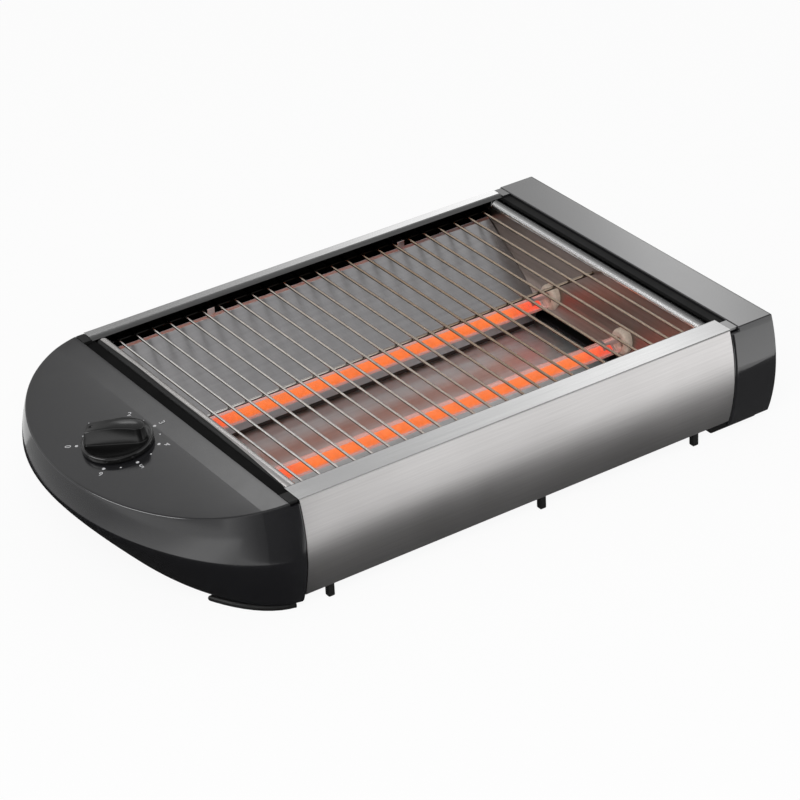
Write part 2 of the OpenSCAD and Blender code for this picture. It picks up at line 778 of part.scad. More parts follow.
// Wire rack, held in the end plates and by clips on the reflectors
module toast_rack() {
    wire_half = long_y + wire_past;
    color([0.7, 0.7, 0.7]) {
        for (y = [-long_y, 0, long_y]) rod_x(x0 + bead_in, x1 - bead_in, y, long_z, long_wire_d);
        for (i = [0:wire_count - 1])
            rod_y(-wire_half, wire_half, x0 + wire_in + i * wire_pitch, rack_z, wire_d);
    }
}
module rack_clips() {
    hook_z = long_z + long_wire_d / 2 + clip_gap;
    hook_y = long_y + long_wire_d / 2 + clip_gap;
    from_y = reflector_top_y - sheet_t;
    to_z = hook_z + sheet_t;
    color([0.85, 0.85, 0.85]) both_sides() for (s = [-1, 1]) let (x = bed_x + s * clip_step * wire_pitch)
        along_x(x - clip_w / 2, x + clip_w / 2) {
            translate([from_y, reflector_top_z]) square([sheet_t, to_z - reflector_top_z]);
            translate([from_y, hook_z]) square([hook_y + sheet_t - from_y, sheet_t]);
            translate([hook_y, long_z]) square([sheet_t, to_z - long_z]);
        }
}

// Heating tubes: glass, coil, ceramics and pins
module quartz_tube() {
    color([0.95, 0.6, 0.5, 0.6]) difference() {
        rod_x(x0 + tube_in, x1 - tube_in, tube_y, tube_z, tube_d);
        rod_x(x0 + tube_in - past, x1 - tube_in + past, tube_y, tube_z, tube_bore);
    }
}
module front_quartz_tube() { to_front() quartz_tube(); }
module rear_quartz_tube() { quartz_tube(); }
turn_rings = 8;
coil_sides = 6;
coil_from = x0 + coil_in;
coil_to = x1 - coil_in;
coil_pitch = (coil_to - coil_from - 4 * coil_wire_d) / coil_turns;
coil_last = coil_turns * turn_rings;
function coil_normal(i) = [0, cos(360 * i / turn_rings), sin(360 * i / turn_rings)];
function coil_point(x, i) = [x, 0, 0] + coil_d / 2 * coil_normal(i);
coil_points = concat(
    [for (x = [coil_from, coil_from + coil_wire_d]) coil_point(x, 0)],
    [for (i = [0:coil_last]) coil_point(coil_from + 2 * coil_wire_d + i * coil_pitch / turn_rings, i)],
    [for (x = [coil_to - coil_wire_d, coil_to]) coil_point(x, coil_last)]);
coil_normals = concat(
    [for (i = [0, 1]) coil_normal(0)],
    [for (i = [0:coil_last]) coil_normal(i)],
    [for (i = [0, 1]) coil_normal(coil_last)]);
near_rings = 5;
far_rings = 3 * turn_rings;
coil_self_gap = min([for (i = [0:len(coil_points) - near_rings - 1])
    for (j = [i + near_rings:min(i + far_rings, len(coil_points) - 1)])
        norm(coil_points[j] - coil_points[i])]) - coil_wire_d;
module heating_coil() {
    echo("least gap of the heating coil to itself, mm", coil_self_gap);
    color([1, 0.45, 0.15]) translate([0, tube_y, tube_z])
        tube(coil_points, coil_normals, coil_wire_d, coil_sides);
}
module front_heating_coil() { translate([0, -2 * tube_y, 0]) heating_coil(); }
module rear_heating_coil() { heating_coil(); }
module ceramic() {
    color([0.68, 0.58, 0.5]) difference() {
        union() {
            intersection() {
                rod_x(0, ceramic_in, tube_y, tube_z, ceramic_d);
                along_y(0, body_w) polygon([
                    [plate_face(0), 0], [plate_face(0) + bed_l, 0],
                    [plate_face(bead_z) + bed_l, bead_z], [plate_face(bead_z), bead_z]]);
            }
            rod_x(plate_face(tube_z) - neck_l, ceramic_in, tube_y, tube_z, neck_d);
            rod_x(ceramic_in - past, nose_end, tube_y, tube_z, nose_d);
        }
        rod_x(0, nose_end + past, tube_y, tube_z, pin_d + 2 * pin_clear);
    }
}
module rear_left_ceramic() { from_left() ceramic(); }
module front_left_ceramic() { to_front() rear_left_ceramic(); }
module rear_right_ceramic() { from_right() ceramic(); }
module front_right_ceramic() { to_front() rear_right_ceramic(); }
module terminal_pins() {
    color([0.6, 0.6, 0.6]) both_sides() both_ends() {
        rod_x(pin_in, coil_in, tube_y, tube_z, pin_d);
        rod_x(collar_from, coil_in, tube_y, tube_z, collar_d);
    }
}

// Crumb tray, its pull and its runners
module crumb_tray() {
    from = x0 + tray_in;
    to = x1 - pull_in + pull_lap;
    inner = tray_half - sheet_t;
    color([0.55, 0.55, 0.56]) difference() {
        block_at([from, -tray_half, tray_z], [to, tray_half, tray_z + tray_h]);
        block_at([from + sheet_t, -inner, tray_z + sheet_t], [to + past, inner, top_z]);
        both_sides() block_at([from - past, toe_y - toe_gap, tray_z + sheet_t],
            [from + sheet_t + past, toe_y + reflector_t + toe_gap, top_z]);
    }
}
module tray_pull() {
    inner = tray_half - sheet_t - pull_gap;
    outer = tray_half + slide_clear;
    front_x = xr - pull_front_t;
    tongue_z = pull_z + pull_t;
    color([0.06, 0.06, 0.06]) difference() {
        union() {
            block_at([x1 - pull_in, -inner, pull_z], [front_x + lap, inner, tongue_z]);
            block_at([front_x, -outer, tray_z], [xr, outer, tray_z + pull_h]);
        }
        block_at([front_x - past, -finger_w / 2, tongue_z],
            [xr + past, finger_w / 2, tray_z + pull_h - finger_bar]);
    }
}
module tray_runners() {
    from_y = tray_half + slide_clear;
    color([0.5, 0.5, 0.5]) both_sides()
        block_at([x0 + tray_in, from_y, floor_z], [x1 - tray_in, from_y + runner_t, floor_z + runner_h]);
}

// Timer: housing and bell under the deck, shaft and knob above
module timer_housing() {
    color([0.7, 0.68, 0.6]) on_deck() difference() {
        translate([-timer_l / 2, -timer_w / 2, -cap_wall - timer_h]) cube([timer_l, timer_w, timer_h - lap]);
        rod_z(-cap_wall - shaft_down - shaft_end_gap, 0, 0, 0, shaft_d + 2 * shaft_clear);
        both_sides() rod_z(-cap_wall - screw_deep, 0, 0, timer_screw_y, screw_d);
    }
}
module timer_bell() {
    crown_r = bell_crown_d / 2;
    color([0.8, 0.7, 0.4]) on_deck() translate([0, 0, -cap_wall - timer_h - bell_stem_l]) {
        rotate_extrude() polygon([[0, 0], [crown_r, 0], [bell_d / 2, -bell_h],
            [bell_d / 2 - bell_t, -bell_h], [crown_r, -bell_t], [0, -bell_t]]);
        translate([0, 0, -lap]) cylinder(d = bell_stem_d, h = bell_stem_l + lap);
    }
}
module timer_tabs() {
    color([0.8, 0.65, 0.3]) on_deck() both_sides()
        translate([timer_l / 2, tab_y - tab_blade_w / 2, -tab_drop]) cube([tab_l, tab_blade_w, tab_t]);
}
module shaft_bar(d, z_from, z_to) {
    difference() {
        rod_z(z_from, z_to, 0, 0, d);
        translate([d / 2 - shaft_flat, -d, knob_gap]) cube([d, 2 * d, z_to]);
    }
}
module timer_shaft() {
    color([0.7, 0.7, 0.72]) on_deck() shaft_bar(shaft_d, -cap_wall - shaft_down, shaft_up);
}
module knob_disc(disc_z, inner_r) {
    rotate_extrude() polygon([
        [0, knob_gap], [knob_d / 2, knob_gap], [knob_d / 2, disc_z],
        [knob_d / 2 - grip_draft, disc_z + knob_lip], [inner_r + grip_draft, disc_z + knob_lip],
        [inner_r, disc_z], [0, disc_z]]);
}
module knob_grip(disc_z, inner_r) {
    top = disc_z + grip_h;
    half = grip_w / 2;
    intersection() {
        along_x(-knob_d, knob_d) polygon([
            [-half, disc_z - lap], [half, disc_z - lap], [half - grip_draft, top], [grip_draft - half, top]]);
        cylinder(r = inner_r, h = top_z);
        rod_y(-knob_d, knob_d, 0, top - grip_arch, 2 * grip_arch);
    }
}
module timer_knob() {
    disc_z = knob_gap + disc_t;
    inner_r = knob_d / 2 - knob_rim;
    color([0.05, 0.05, 0.05]) on_deck() rotate([0, 0, zero_angle]) difference() {
        union() {
            knob_disc(disc_z, inner_r);
            knob_grip(disc_z, inner_r);
        }
        rotate([0, 0, -zero_angle]) shaft_bar(shaft_d + 2 * shaft_clear, 0, shaft_up + shaft_end_gap);
        rod_z(disc_z + grip_h - dimple_deep, top_z, inner_r - knob_rim, 0, dimple_d);
    }
}
module timer_screws() {
    color([0.6, 0.6, 0.6]) on_deck() both_sides() {
        rod_z(-head_h / 2 - head_sink, -head_sink, 0, timer_screw_y, head_d);
        rod_z(screw_free - cap_wall - screw_deep, -head_sink, 0, timer_screw_y, screw_d);
    }
}

// Mains parts in the control end, with the bends of the leads in steps of half a diameter
bend = lead_d / 2;
block_x = x0 - block_u;
block_mid_z = cover_z + block_h / 2;
tab_reach = timer_l / 2 + tab_l;
tab_mid = tab_drop - tab_t / 2;
tab_way = [cos(deck_tilt), 0, sin(deck_tilt)];
deck_way = [-sin(deck_tilt), 0, cos(deck_tilt)];
function tab_end(y) = [x0 - knob_in, y, knob_z] + tab_reach * tab_way - tab_mid * deck_way;
module terminal_block() {
    top = cover_z + block_h;
    color([0.85, 0.83, 0.76]) difference() {
        translate([block_x - block_l / 2, block_y - block_w / 2, cover_z]) cube([block_l, block_w, block_h]);
        for (s = [-1, 1]) rod_z(top - well_deep, top + past, block_x, block_y + s * block_w / 4, well_d);
    }
}
module cord_gland() {
    color([0.07, 0.07, 0.07]) from_left() difference() {
        union() {
            rod_y(gland_back, gland_face, -gland_u, gland_z, gland_d);
            rod_y(gland_face, gland_face + flange_t, -gland_u, gland_z, flange_d);
        }
        rod_y(gland_back - past, gland_face + flange_t + past, -gland_u, gland_z, gland_bore);
    }
}
module live_lead() {
    from_y = block_y - block_w / 2;
    color([0.45, 0.25, 0.15]) lead([
        [block_x, from_y, block_mid_z], [block_x, from_y - 5 * bend, block_mid_z],
        [block_x + 3 * bend, tab_y + 3 * bend, block_mid_z + 5 * bend],
        tab_end(tab_y) + bend * [5, 1, -5], tab_end(tab_y) + 3 * bend * tab_way, tab_end(tab_y)]);
}
module timer_lead() {
    wall_x = x0 - cap_wall;
    color([0.7, 0.15, 0.12]) lead([
        [x0 + pin_in, -tube_y, tube_z], [wall_x - 2 * bend, -tube_y, tube_z],
        [wall_x - 6 * bend, 3 * bend - tube_y, tube_z + 2 * bend],
        tab_end(-tab_y) + bend * [4, -4, -4], tab_end(-tab_y) + 3 * bend * tab_way, tab_end(-tab_y)]);
}
module neutral_lead() {
    wall_x = x0 - cap_wall;
    to_x = block_x + block_l / 2;
    to_y = block_y + block_w / 6;
    color([0.2, 0.3, 0.6]) lead([
        [x0 + pin_in, tube_y, tube_z], [wall_x - 2 * bend, tube_y, tube_z],
        [wall_x - 4 * bend, tube_y + bend, tube_z - 2 * bend],
        [wall_x - 4.5 * bend, tube_y + 3 * bend, tube_z - 6 * bend],
        [wall_x - 4.5 * bend, to_y - 2 * bend, block_mid_z + 3 * bend],
        [to_x + 4 * bend, to_y - bend / 2, block_mid_z + bend], [to_x + 2 * bend, to_y, block_mid_z],
        [to_x, to_y, block_mid_z]]);
}
module link_lead() {
    out = x1 + cap_wall + 8 * bend;
    low = tube_z - 4 * bend;
    half_bow = [
        [x1 - pin_in, tube_y, tube_z], [out - 5 * bend, tube_y, tube_z],
        [out - bend, tube_y - 2 * bend, tube_z - bend], [out, tube_y - 8 * bend, low]];
    other_half = [for (i = [len(half_bow) - 1:-1:0]) let (p = half_bow[i]) [p[0], -p[1], p[2]]];
    color([0.85, 0.82, 0.75]) lead(concat(half_bow, [[out, 0, low]], other_half));
}

// Screws, with their heads under the sheet or cover that they hold
module screw_up_at(x, y, z, grip) {
    rod_z(z - head_h, z, x, y, head_d);
    rod_z(z - lap, z + grip, x, y, screw_d);
}
module base_screws() {
    color([0.6, 0.6, 0.6]) both_sides() for (x = hem_screw_x)
        screw_up_at(x, hem_screw_y, foot_h, hem_grip);
}
module cap_screws() {
    into_post = screw_deep - screw_free;
    color([0.6, 0.6, 0.6]) both_sides() {
        screw_up_at(x0 - post_u, post_y, foot_h, cover_t + into_post);
        screw_up_at(end_post_x, end_post_y, foot_h, floor_z - foot_h + into_post);
    }
}
module plate_screws() {
    color([0.6, 0.6, 0.6]) both_sides() both_ends() {
        rod_x(-cap_wall - head_h, -cap_wall, plate_screw_y, plate_screw_z, head_d);
        rod_x(-cap_wall - lap, bead_in - screw_free, plate_screw_y, plate_screw_z, screw_d);
    }
}

control_cap();
control_cover();
end_cap();
end_cover();
front_panel();
rear_panel();
front_rail();
rear_rail();
base_plate();
tab_feet();
control_feet();
end_feet();
left_end_plate();
right_end_plate();
front_reflector();
rear_reflector();
toast_rack();
rack_clips();
front_quartz_tube();
rear_quartz_tube();
front_heating_coil();
rear_heating_coil();
front_left_ceramic();
rear_left_ceramic();
front_right_ceramic();
rear_right_ceramic();
terminal_pins();
crumb_tray();
tray_pull();
tray_runners();
timer_housing();
timer_bell();
timer_tabs();
timer_shaft();
timer_knob();
timer_screws();
terminal_block();
cord_gland();
live_lead();
timer_lead();
neutral_lead();
link_lead();
base_screws();
cap_screws();
plate_screws();
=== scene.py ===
import bpy
import bmesh
import json
import math
from contextlib import contextmanager
from mathutils import Matrix, Vector

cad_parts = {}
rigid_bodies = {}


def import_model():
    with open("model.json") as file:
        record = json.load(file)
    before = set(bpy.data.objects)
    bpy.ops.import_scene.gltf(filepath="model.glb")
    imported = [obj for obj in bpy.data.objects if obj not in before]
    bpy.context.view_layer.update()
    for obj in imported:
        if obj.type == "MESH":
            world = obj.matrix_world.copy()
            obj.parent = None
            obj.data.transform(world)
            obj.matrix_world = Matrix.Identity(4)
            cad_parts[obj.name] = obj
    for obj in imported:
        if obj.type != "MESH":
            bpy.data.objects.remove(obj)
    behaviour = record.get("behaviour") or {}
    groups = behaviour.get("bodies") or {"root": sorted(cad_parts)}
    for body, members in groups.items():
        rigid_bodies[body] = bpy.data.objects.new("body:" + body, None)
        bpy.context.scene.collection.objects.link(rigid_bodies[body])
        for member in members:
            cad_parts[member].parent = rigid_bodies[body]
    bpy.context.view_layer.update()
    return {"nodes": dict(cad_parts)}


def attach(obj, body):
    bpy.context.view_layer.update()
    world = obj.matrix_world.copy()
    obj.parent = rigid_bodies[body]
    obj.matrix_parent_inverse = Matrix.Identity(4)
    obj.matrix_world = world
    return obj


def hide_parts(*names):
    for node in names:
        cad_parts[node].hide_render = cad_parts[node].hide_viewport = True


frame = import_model()
nodes = frame["nodes"]
mm = 0.001
print("frame loaded:", len(nodes), "nodes")

# sizes shared by the pieces, in mm, those of the CAD apart from the tubes' and ceramics' heights
toaster = {
    "xLeft": -119.0, "xRight": 171.0, "xEnd": 201.0,  # seams of both caps and the far end
    "halfW": 114.0, "topZ": 68.0, "footH": 8.0, "panelH": 60.0, "bow": 5.0,
    "midX": 26.0, "tubeY": 35.0, "tubeZ": 30.8, "ceramicZ": 31.4,  # heights as shown
}
bowR = (toaster["panelH"] ** 2 / 4 + toaster["bow"] ** 2) / (2 * toaster["bow"])
bowC = toaster["halfW"] + toaster["bow"] - bowR
bowZ = toaster["footH"] + toaster["panelH"] / 2


def sideY(z):
    return bowC + math.sqrt(bowR ** 2 - (z - bowZ) ** 2)


def mix(a, b, t):
    return a + (b - a) * t


def rectangle(low, high):
    return [low, (high[0], low[1]), high, (low[0], high[1])]


def arc(x, y, r, start, step, count):  # points at even steps in degrees
    turns = [math.radians(start + step * i) for i in range(count)]
    return [(x + r * math.cos(a), y + r * math.sin(a)) for a in turns]


# finishes: short helpers for node trees
def startFinish(name):
    finish = bpy.data.materials.new(name)
    finish.use_nodes = True
    tree = finish.node_tree
    return finish, tree, tree.nodes["Principled BSDF"]


def setSockets(node, values):  # each value is a constant, or the output of another node
    for key, value in values.items():
        if isinstance(value, bpy.types.NodeSocket):
            node.id_data.links.new(value, node.inputs[key])
        else:
            node.inputs[key].default_value = value
    return node


def addNode(tree, kind, values, how=None):
    node = tree.nodes.new(kind)
    if how:
        node.operation = how
    return setSockets(node, values)


def objectPlace(tree):
    return tree.nodes.new("ShaderNodeTexCoord").outputs["Object"]


def grain(tree, scale, stretch=(1, 1, 1), detail=3.0):
    lay = addNode(tree, "ShaderNodeMapping", {"Vector": objectPlace(tree), "Scale": stretch})
    values = {"Vector": lay.outputs["Vector"], "Scale": scale, "Detail": detail, "Roughness": 0.6}
    return addNode(tree, "ShaderNodeTexNoise", values).outputs["Fac"]


def axisValue(tree, axis):
    return addNode(tree, "ShaderNodeSeparateXYZ", {"Vector": objectPlace(tree)}).outputs[axis]


def spread(tree, value, toLow, toHigh, fromLow=0.3, fromHigh=0.7):
    values = {"Value": value, "From Min": fromLow, "From Max": fromHigh, "To Min": toLow, "To Max": toHigh}
    return addNode(tree, "ShaderNodeMapRange", values).outputs["Result"]


def tint(tree, value, stops):
    node = addNode(tree, "ShaderNodeValToRGB", {"Fac": value})
    ramp = node.color_ramp
    while len(ramp.elements) < len(stops):
        ramp.elements.new(0.5)
    for element, (place, colour) in zip(ramp.elements, stops):
        element.position = place
        shades = (colour,) * 3 if isinstance(colour, float) else colour  # a lone number is a grey
        element.color = (*shades, 1)
    return node.outputs["Color"]


def dent(tree, height, strength, depth):
    values = {"Height": height, "Strength": strength, "Distance": depth}
    return addNode(tree, "ShaderNodeBump", values).outputs["Normal"]


def facingShare(tree, blend):
    return addNode(tree, "ShaderNodeLayerWeight", {"Blend": blend}).outputs["Facing"]


def reckon(tree, how, a, b=0.0):
    return addNode(tree, "ShaderNodeMath", {0: a, 1: b}, how).outputs[0]


def scaled(tree, colour, share):
    return addNode(tree, "ShaderNodeVectorMath", {0: colour, "Scale": share}, "SCALE").outputs[0]


def makeMoulding(name, dark, light, rough, ior, texture=900.0, relief=0.06, shine=0.5):
    finish, tree, shader = startFinish(name)
    setSockets(shader, {
        "Base Color": tint(tree, grain(tree, 14.0), [(0.3, dark), (0.7, light)]),
        "Roughness": spread(tree, grain(tree, 60.0), rough * 0.88, rough * 1.12),
        "Normal": dent(tree, grain(tree, texture), relief, 0.0001),
        "IOR": ior, "Specular IOR Level": shine,
    })
    return finish


def patchy(tree, rough):
    return spread(tree, grain(tree, 9.0), rough * 0.85, rough * 1.15)


def makeSheet(name, dark, light, rough, along=(0.02, 1, 1), lines=900.0, relief=0.12, stretch=0.6):
    finish, tree, shader = startFinish(name)
    strokes = grain(tree, lines, along, 4.0)
    setSockets(shader, {
        "Base Color": tint(tree, strokes, [(0.25, dark), (0.75, light)]),
        "Roughness": patchy(tree, rough),
        "Normal": dent(tree, strokes, relief, 0.00005),
        "Metallic": 1.0, "Anisotropic": stretch,
    })
    if stretch > 0:  # the blur runs across the brushing
        lie = addNode(tree, "ShaderNodeCombineXYZ", {"X": 0.0, "Y": 0.7, "Z": 0.7})
        setSockets(shader, {"Tangent": lie.outputs["Vector"]})
    return finish


def alongX(tree, stops):  # a colour that changes along X, its places in mm
    low, high = stops[0][0], stops[-1][0]
    place = spread(tree, axisValue(tree, "X"), 0.0, 1.0, low * mm, high * mm)
    return tint(tree, place, [((x - low) / (high - low), colour) for x, colour in stops])


# a metal whose tone along X is painted light and shade
def makeShaded(name, stops, rough, along=(1, 0.03, 1), lines=600.0, edge=1.0, cast=(1, 1, 1)):
    finish, tree, shader = startFinish(name)
    tones = alongX(tree, [(x, [tone * share for share in cast]) for x, tone in stops])
    strokes = spread(tree, grain(tree, lines, along, 4.0), 0.94, 1.06)
    setSockets(shader, {"Base Color": scaled(tree, tones, strokes), "Roughness": patchy(tree, rough)})
    setSockets(shader, {"Metallic": 1.0, "Specular Tint": (edge, edge, edge, 1)})
    return finish


wire = {
    "heat": [(-119, (0.95, 0.94, 0.92)), (-30, (0.8, 0.74, 0.68)), (60, (0.44, 0.33, 0.24)),
             (171, (0.54, 0.44, 0.35))],  # bright at the left, browner and darker toward the glowing tubes: painted reflection
    # rim, under and hidden are the painted shade at each wire's rim, on its underside and behind the
    # reflectors
    "rim": 0.1, "rimRange": (0.35, 0.85), "under": 0.12, "underRange": (-0.1, 0.4),
    "hidden": 0.015, "hideRange": (0.1025, 0.1045),
}


def makeWire():  # plating with painted shade: dark at each wire's rim, on its underside and behind the reflectors
    w = wire
    finish, tree, shader = startFinish("rackPlatingPaintedShade")
    platingAndGlowReflection = scaled(tree, alongX(tree, w["heat"]), spread(tree, grain(tree, 160.0), 0.88, 1.08))
    rim = spread(tree, facingShare(tree, 0.5), 1.0, w["rim"], *w["rimRange"])
    away = reckon(tree, "ABSOLUTE", axisValue(tree, "Y"))
    paintedShadeBehind = spread(tree, away, 1.0, w["hidden"], *w["hideRange"])
    normal = tree.nodes.new("ShaderNodeNewGeometry").outputs["Normal"]
    upward = addNode(tree, "ShaderNodeSeparateXYZ", {"Vector": normal}).outputs["Z"]
    paintedUnderShade = spread(tree, upward, w["under"], 1.0, *w["underRange"])
    share = reckon(tree, "MULTIPLY", reckon(tree, "MULTIPLY", rim, paintedShadeBehind), paintedUnderShade)
    rough = spread(tree, grain(tree, 60.0), 0.14, 0.19)
    setSockets(shader, {"Base Color": scaled(tree, platingAndGlowReflection, share), "Roughness": rough, "Metallic": 1.0})
    return finish


capPlastic = makeMoulding("capPlastic", (0.009, 0.009, 0.010), (0.012, 0.012, 0.0135), 0.14, 1.7)
endPlastic = makeMoulding("endCapPlastic", (0.012, 0.012, 0.013), (0.016, 0.016, 0.0175), 0.09, 1.88)
blackPlastic = makeMoulding("blackPlastic", 0.008, 0.014, 0.5, 1.5, 700.0, 0.15)
knobPlastic = makeMoulding("knobGloss", 0.003, 0.005, 0.14, 1.55, 500.0, 0.02)
footPlastic = makeMoulding("footRubber", 0.006, 0.011, 0.6, 1.5, 600.0, 0.25)
pullPlastic = makeMoulding("pullPlastic", 0.004, 0.008, 0.7, 1.45, 500.0, 0.1, 0.12)
# the groove strips: black, painted shade for the groove beside each cap, made lighter grey at the end cap as
# painted light
grooveShadeBlack = makeMoulding("grooveShadeBlack", 0.003, 0.006, 0.8, 1.4, 500.0, 0.2, 0.12)
grooveShadeGrey = makeMoulding("grooveShadeGrey", 0.02, 0.028, 0.75, 1.4, 500.0, 0.2, 0.12)
lipPlastic = makeMoulding("lipPlastic", 0.008, 0.012, 0.5, 1.5, 600.0, 0.1, 0.3)
blockIvory = makeMoulding("blockIvory", (0.62, 0.58, 0.46), (0.7, 0.66, 0.54), 0.45, 1.5, 500.0, 0.1)

evenly, lengthwise, crosswise = (1, 1, 1), (0.05, 1, 1), (1, 0.03, 1)  # how the grain lies
brushedSteel = makeSheet("brushedSteel", (0.6, 0.585, 0.58), (0.69, 0.675, 0.67), 0.34, relief=0.04)
# the panels' inner faces: near-black, painted shade
innerPaintedShade = makeSheet("innerSheet", (0.012, 0.011, 0.011), (0.03, 0.028, 0.026), 0.55, evenly, 60.0, 0.1, 0.0)
# the reflectors' feet: dark, painted shade above the tray
toeSheet = makeSheet("toeSheet", (0.05, 0.042, 0.038), (0.09, 0.078, 0.07), 0.35, lengthwise, 300.0, 0.0, 0.0)
brightSteel = makeSheet("railSteel", 0.72, 0.82, 0.13, lines=700.0, relief=0.02, stretch=0.0)
# the rails' rolled edges: darker, painted shade
rollPaintedShade = makeSheet("railRollPaintedShade", 0.17, 0.23, 0.3, lines=700.0, relief=0.02, stretch=0.0)
plateSteel = makeSheet("endPlateSteel", (0.21, 0.17, 0.15), (0.27, 0.22, 0.195), 0.32, crosswise, 600.0,
                       0.0, 0.0)
beadSteel = makeSheet("beadSteel", (0.56, 0.54, 0.53), (0.66, 0.64, 0.63), 0.24, crosswise, 600.0, 0.0, 0.0)
reflectorSheet = makeSheet("mirrorSheet", (0.6, 0.59, 0.6), (0.72, 0.71, 0.72), 0.3, lengthwise, 300.0,
                           0.0, 0.0)
plainSteel = makeSheet("zincSheet", (0.36, 0.36, 0.37), 0.5, 0.42, evenly, 120.0, 0.08, 0.0)
screwSteel = makeSheet("screwZinc", 0.42, (0.58, 0.58, 0.56), 0.35, evenly, 300.0, 0.06, 0.0)
timerMetal = makeSheet("timerCase", (0.46, 0.44, 0.38), (0.6, 0.57, 0.5), 0.4, evenly, 90.0, 0.08, 0.0)
brassSheet = makeSheet("tabBrass", (0.55, 0.38, 0.13), (0.7, 0.5, 0.2), 0.3, evenly, 150.0, 0.05, 0.0)
# the tray: lighter toward the right end and cast cool against the glow's red, painted light
trayPaintedLight = makeShaded("traySatin", [(-119, 0.48), (40, 0.49), (90, 0.58), (125, 0.78), (171, 0.84)], 0.43,
                       lengthwise, 400.0, cast=(1.03, 1.15, 1.18))
# the front rail: its tone along X is a painted reflection
frontRailSteel = makeShaded("frontRailSteel", [(-119, 0.5), (-60, 0.58), (0, 0.54), (60, 0.48), (120, 0.36),
                                               (171, 0.27)], 0.13, (0.02, 1, 1), 700.0)
# the far bead: painted highlight on its inner side, painted shade on its outer flank
farBeadPaintedLight = makeShaded("farBeadPaintedLight", [(161.2, 0.95), (161.6, 0.92), (162.0, 0.64), (162.5, 0.56),
                                           (163.1, 0.5), (163.8, 0.25), (164.6, 0.085), (165.6, 0.03),
                                           (166.9, 0.01), (169.2, 0.008)], 0.24, edge=0.05)
wireChrome = makeWire()


def makeCeramic():
    finish, tree, shader = startFinish("beigeCeramic")
    stops = [(0.3, (0.5, 0.4, 0.32)), (0.55, (0.66, 0.55, 0.45)), (0.75, (0.76, 0.65, 0.54))]
    setSockets(shader, {
        "Base Color": tint(tree, grain(tree, 420.0, detail=5.0), stops),
        "Normal": dent(tree, grain(tree, 700.0), 0.3, 0.0002),
        "Roughness": 0.62,
    })
    return finish


quartz = {"blend": 0.25, "clear": 0.05, "veiled": 0.8, "veilRange": (0.12, 0.85), "halo": (1.0, 0.4, 0.33, 1),
          "paintedGlowPower": 0.32}


def makeQuartz():  # clear in the middle, a veil at the sides; its pink tint and its own glow are painted glow from the coils
    q = quartz
    finish, tree, shader = startFinish("clearQuartz")
    stops = [(0.3, (0.72, 0.5, 0.46)), (0.7, (0.86, 0.66, 0.62))]
    setSockets(shader, {
        "Alpha": spread(tree, facingShare(tree, q["blend"]), q["clear"], q["veiled"], *q["veilRange"]),
        "Base Color": tint(tree, grain(tree, 40.0, lengthwise), stops),
        "Roughness": 0.06, "IOR": 1.46, "Emission Color": q["halo"], "Emission Strength": q["paintedGlowPower"],
    })
    return finish


glow = {"ends": (1.0, 0.045, 0.014), "middle": (1.0, 0.18, 0.008), "power": 0.82, "endRange": (0.092, 0.116)}


def makeGlow():  # redder toward both ends of the winding
    g = glow
    finish, tree, shader = startFinish("glowingWire")
    fromMiddle = reckon(tree, "SUBTRACT", axisValue(tree, "X"), toaster["midX"] * mm)
    heat = spread(tree, reckon(tree, "ABSOLUTE", fromMiddle), 1.0, 0.0, *g["endRange"])
    setSockets(shader, {
        "Emission Color": tint(tree, heat, [(0.0, g["ends"]), (1.0, g["middle"])]),
        "Emission Strength": spread(tree, grain(tree, 220.0), g["power"] * 0.86, g["power"] * 1.12),
        "Base Color": (0.25, 0.06, 0.02, 1), "Roughness": 0.6,
    })
    return finish


def makeLead(name, dark, light):
    return makeMoulding(name, dark, light, 0.5, 1.48, 300.0, 0.1)


ceramicFinish = makeCeramic()
quartzFinish = makeQuartz()
glowFinish = makeGlow()
leadFinishes = {
    "live_lead": makeLead("brownLead", (0.1, 0.04, 0.018), (0.14, 0.06, 0.03)),
    "timer_lead": makeLead("redLead", (0.36, 0.015, 0.012), (0.42, 0.03, 0.02)),
    "neutral_lead": makeLead("blueLead", (0.02, 0.05, 0.22), (0.03, 0.07, 0.3)),
    "link_lead": makeLead("sleevedLead", (0.6, 0.55, 0.45), (0.7, 0.66, 0.56)),
}
print("finishes:", len(bpy.data.materials))


# mesh helpers
@contextmanager
def editing(mesh):
    shape = bmesh.new()
    shape.from_mesh(mesh)
    yield shape
    shape.to_mesh(mesh)
    shape.free()


def addObject(name, data):
    piece = bpy.data.objects.new(name, data)
    bpy.context.scene.collection.objects.link(piece)
    return piece


def dress(piece, finish, carrier="housing", smoothAngle=35.0):
    mesh = piece.data
    mesh.materials.clear()
    mesh.materials.append(finish)
    mesh.polygons.foreach_set("use_smooth", [True] * len(mesh.polygons))
    mesh.polygons.foreach_set("material_index", [0] * len(mesh.polygons))
    mesh.set_sharp_from_angle(angle=math.radians(smoothAngle))
    if piece.parent is None:
        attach(piece, carrier)


def rawPiece(name, verts, faces):
    mesh = bpy.data.meshes.new(name)
    mesh.from_pydata([Vector(v) * mm for v in verts], [], faces)
    with editing(mesh) as shape:
        bmesh.ops.recalc_face_normals(shape, faces=shape.faces)
    return addObject(name, mesh)


def evenNormals(piece):
    even = piece.modifiers.new("evenNormals", "WEIGHTED_NORMAL")
    even.keep_sharp = True
    even.weight = 60
    return piece


def carve(piece, cutter, how="DIFFERENCE"):
    cut = piece.modifiers.new("carve", "BOOLEAN")
    cut.operation = how
    cut.solver = "EXACT"
    cut.object = cutter
    shown = piece.evaluated_get(bpy.context.evaluated_depsgraph_get())
    mesh = bpy.data.meshes.new_from_object(shown)
    piece.modifiers.clear()
    piece.data = mesh
    bpy.data.objects.remove(cutter)


def prismAlong(name, axis, low, high, outline):
    count = len(outline)
    ends = []
    for at in (low, high):
        for a, b in outline:
            ends.append((at, a, b) if axis == "X" else (a, at, b))
    faces = [list(range(count)), list(range(2 * count - 1, count - 1, -1))]
    faces += [[i, (i + 1) % count, count + (i + 1) % count, count + i] for i in range(count)]
    return rawPiece(name, ends, faces)


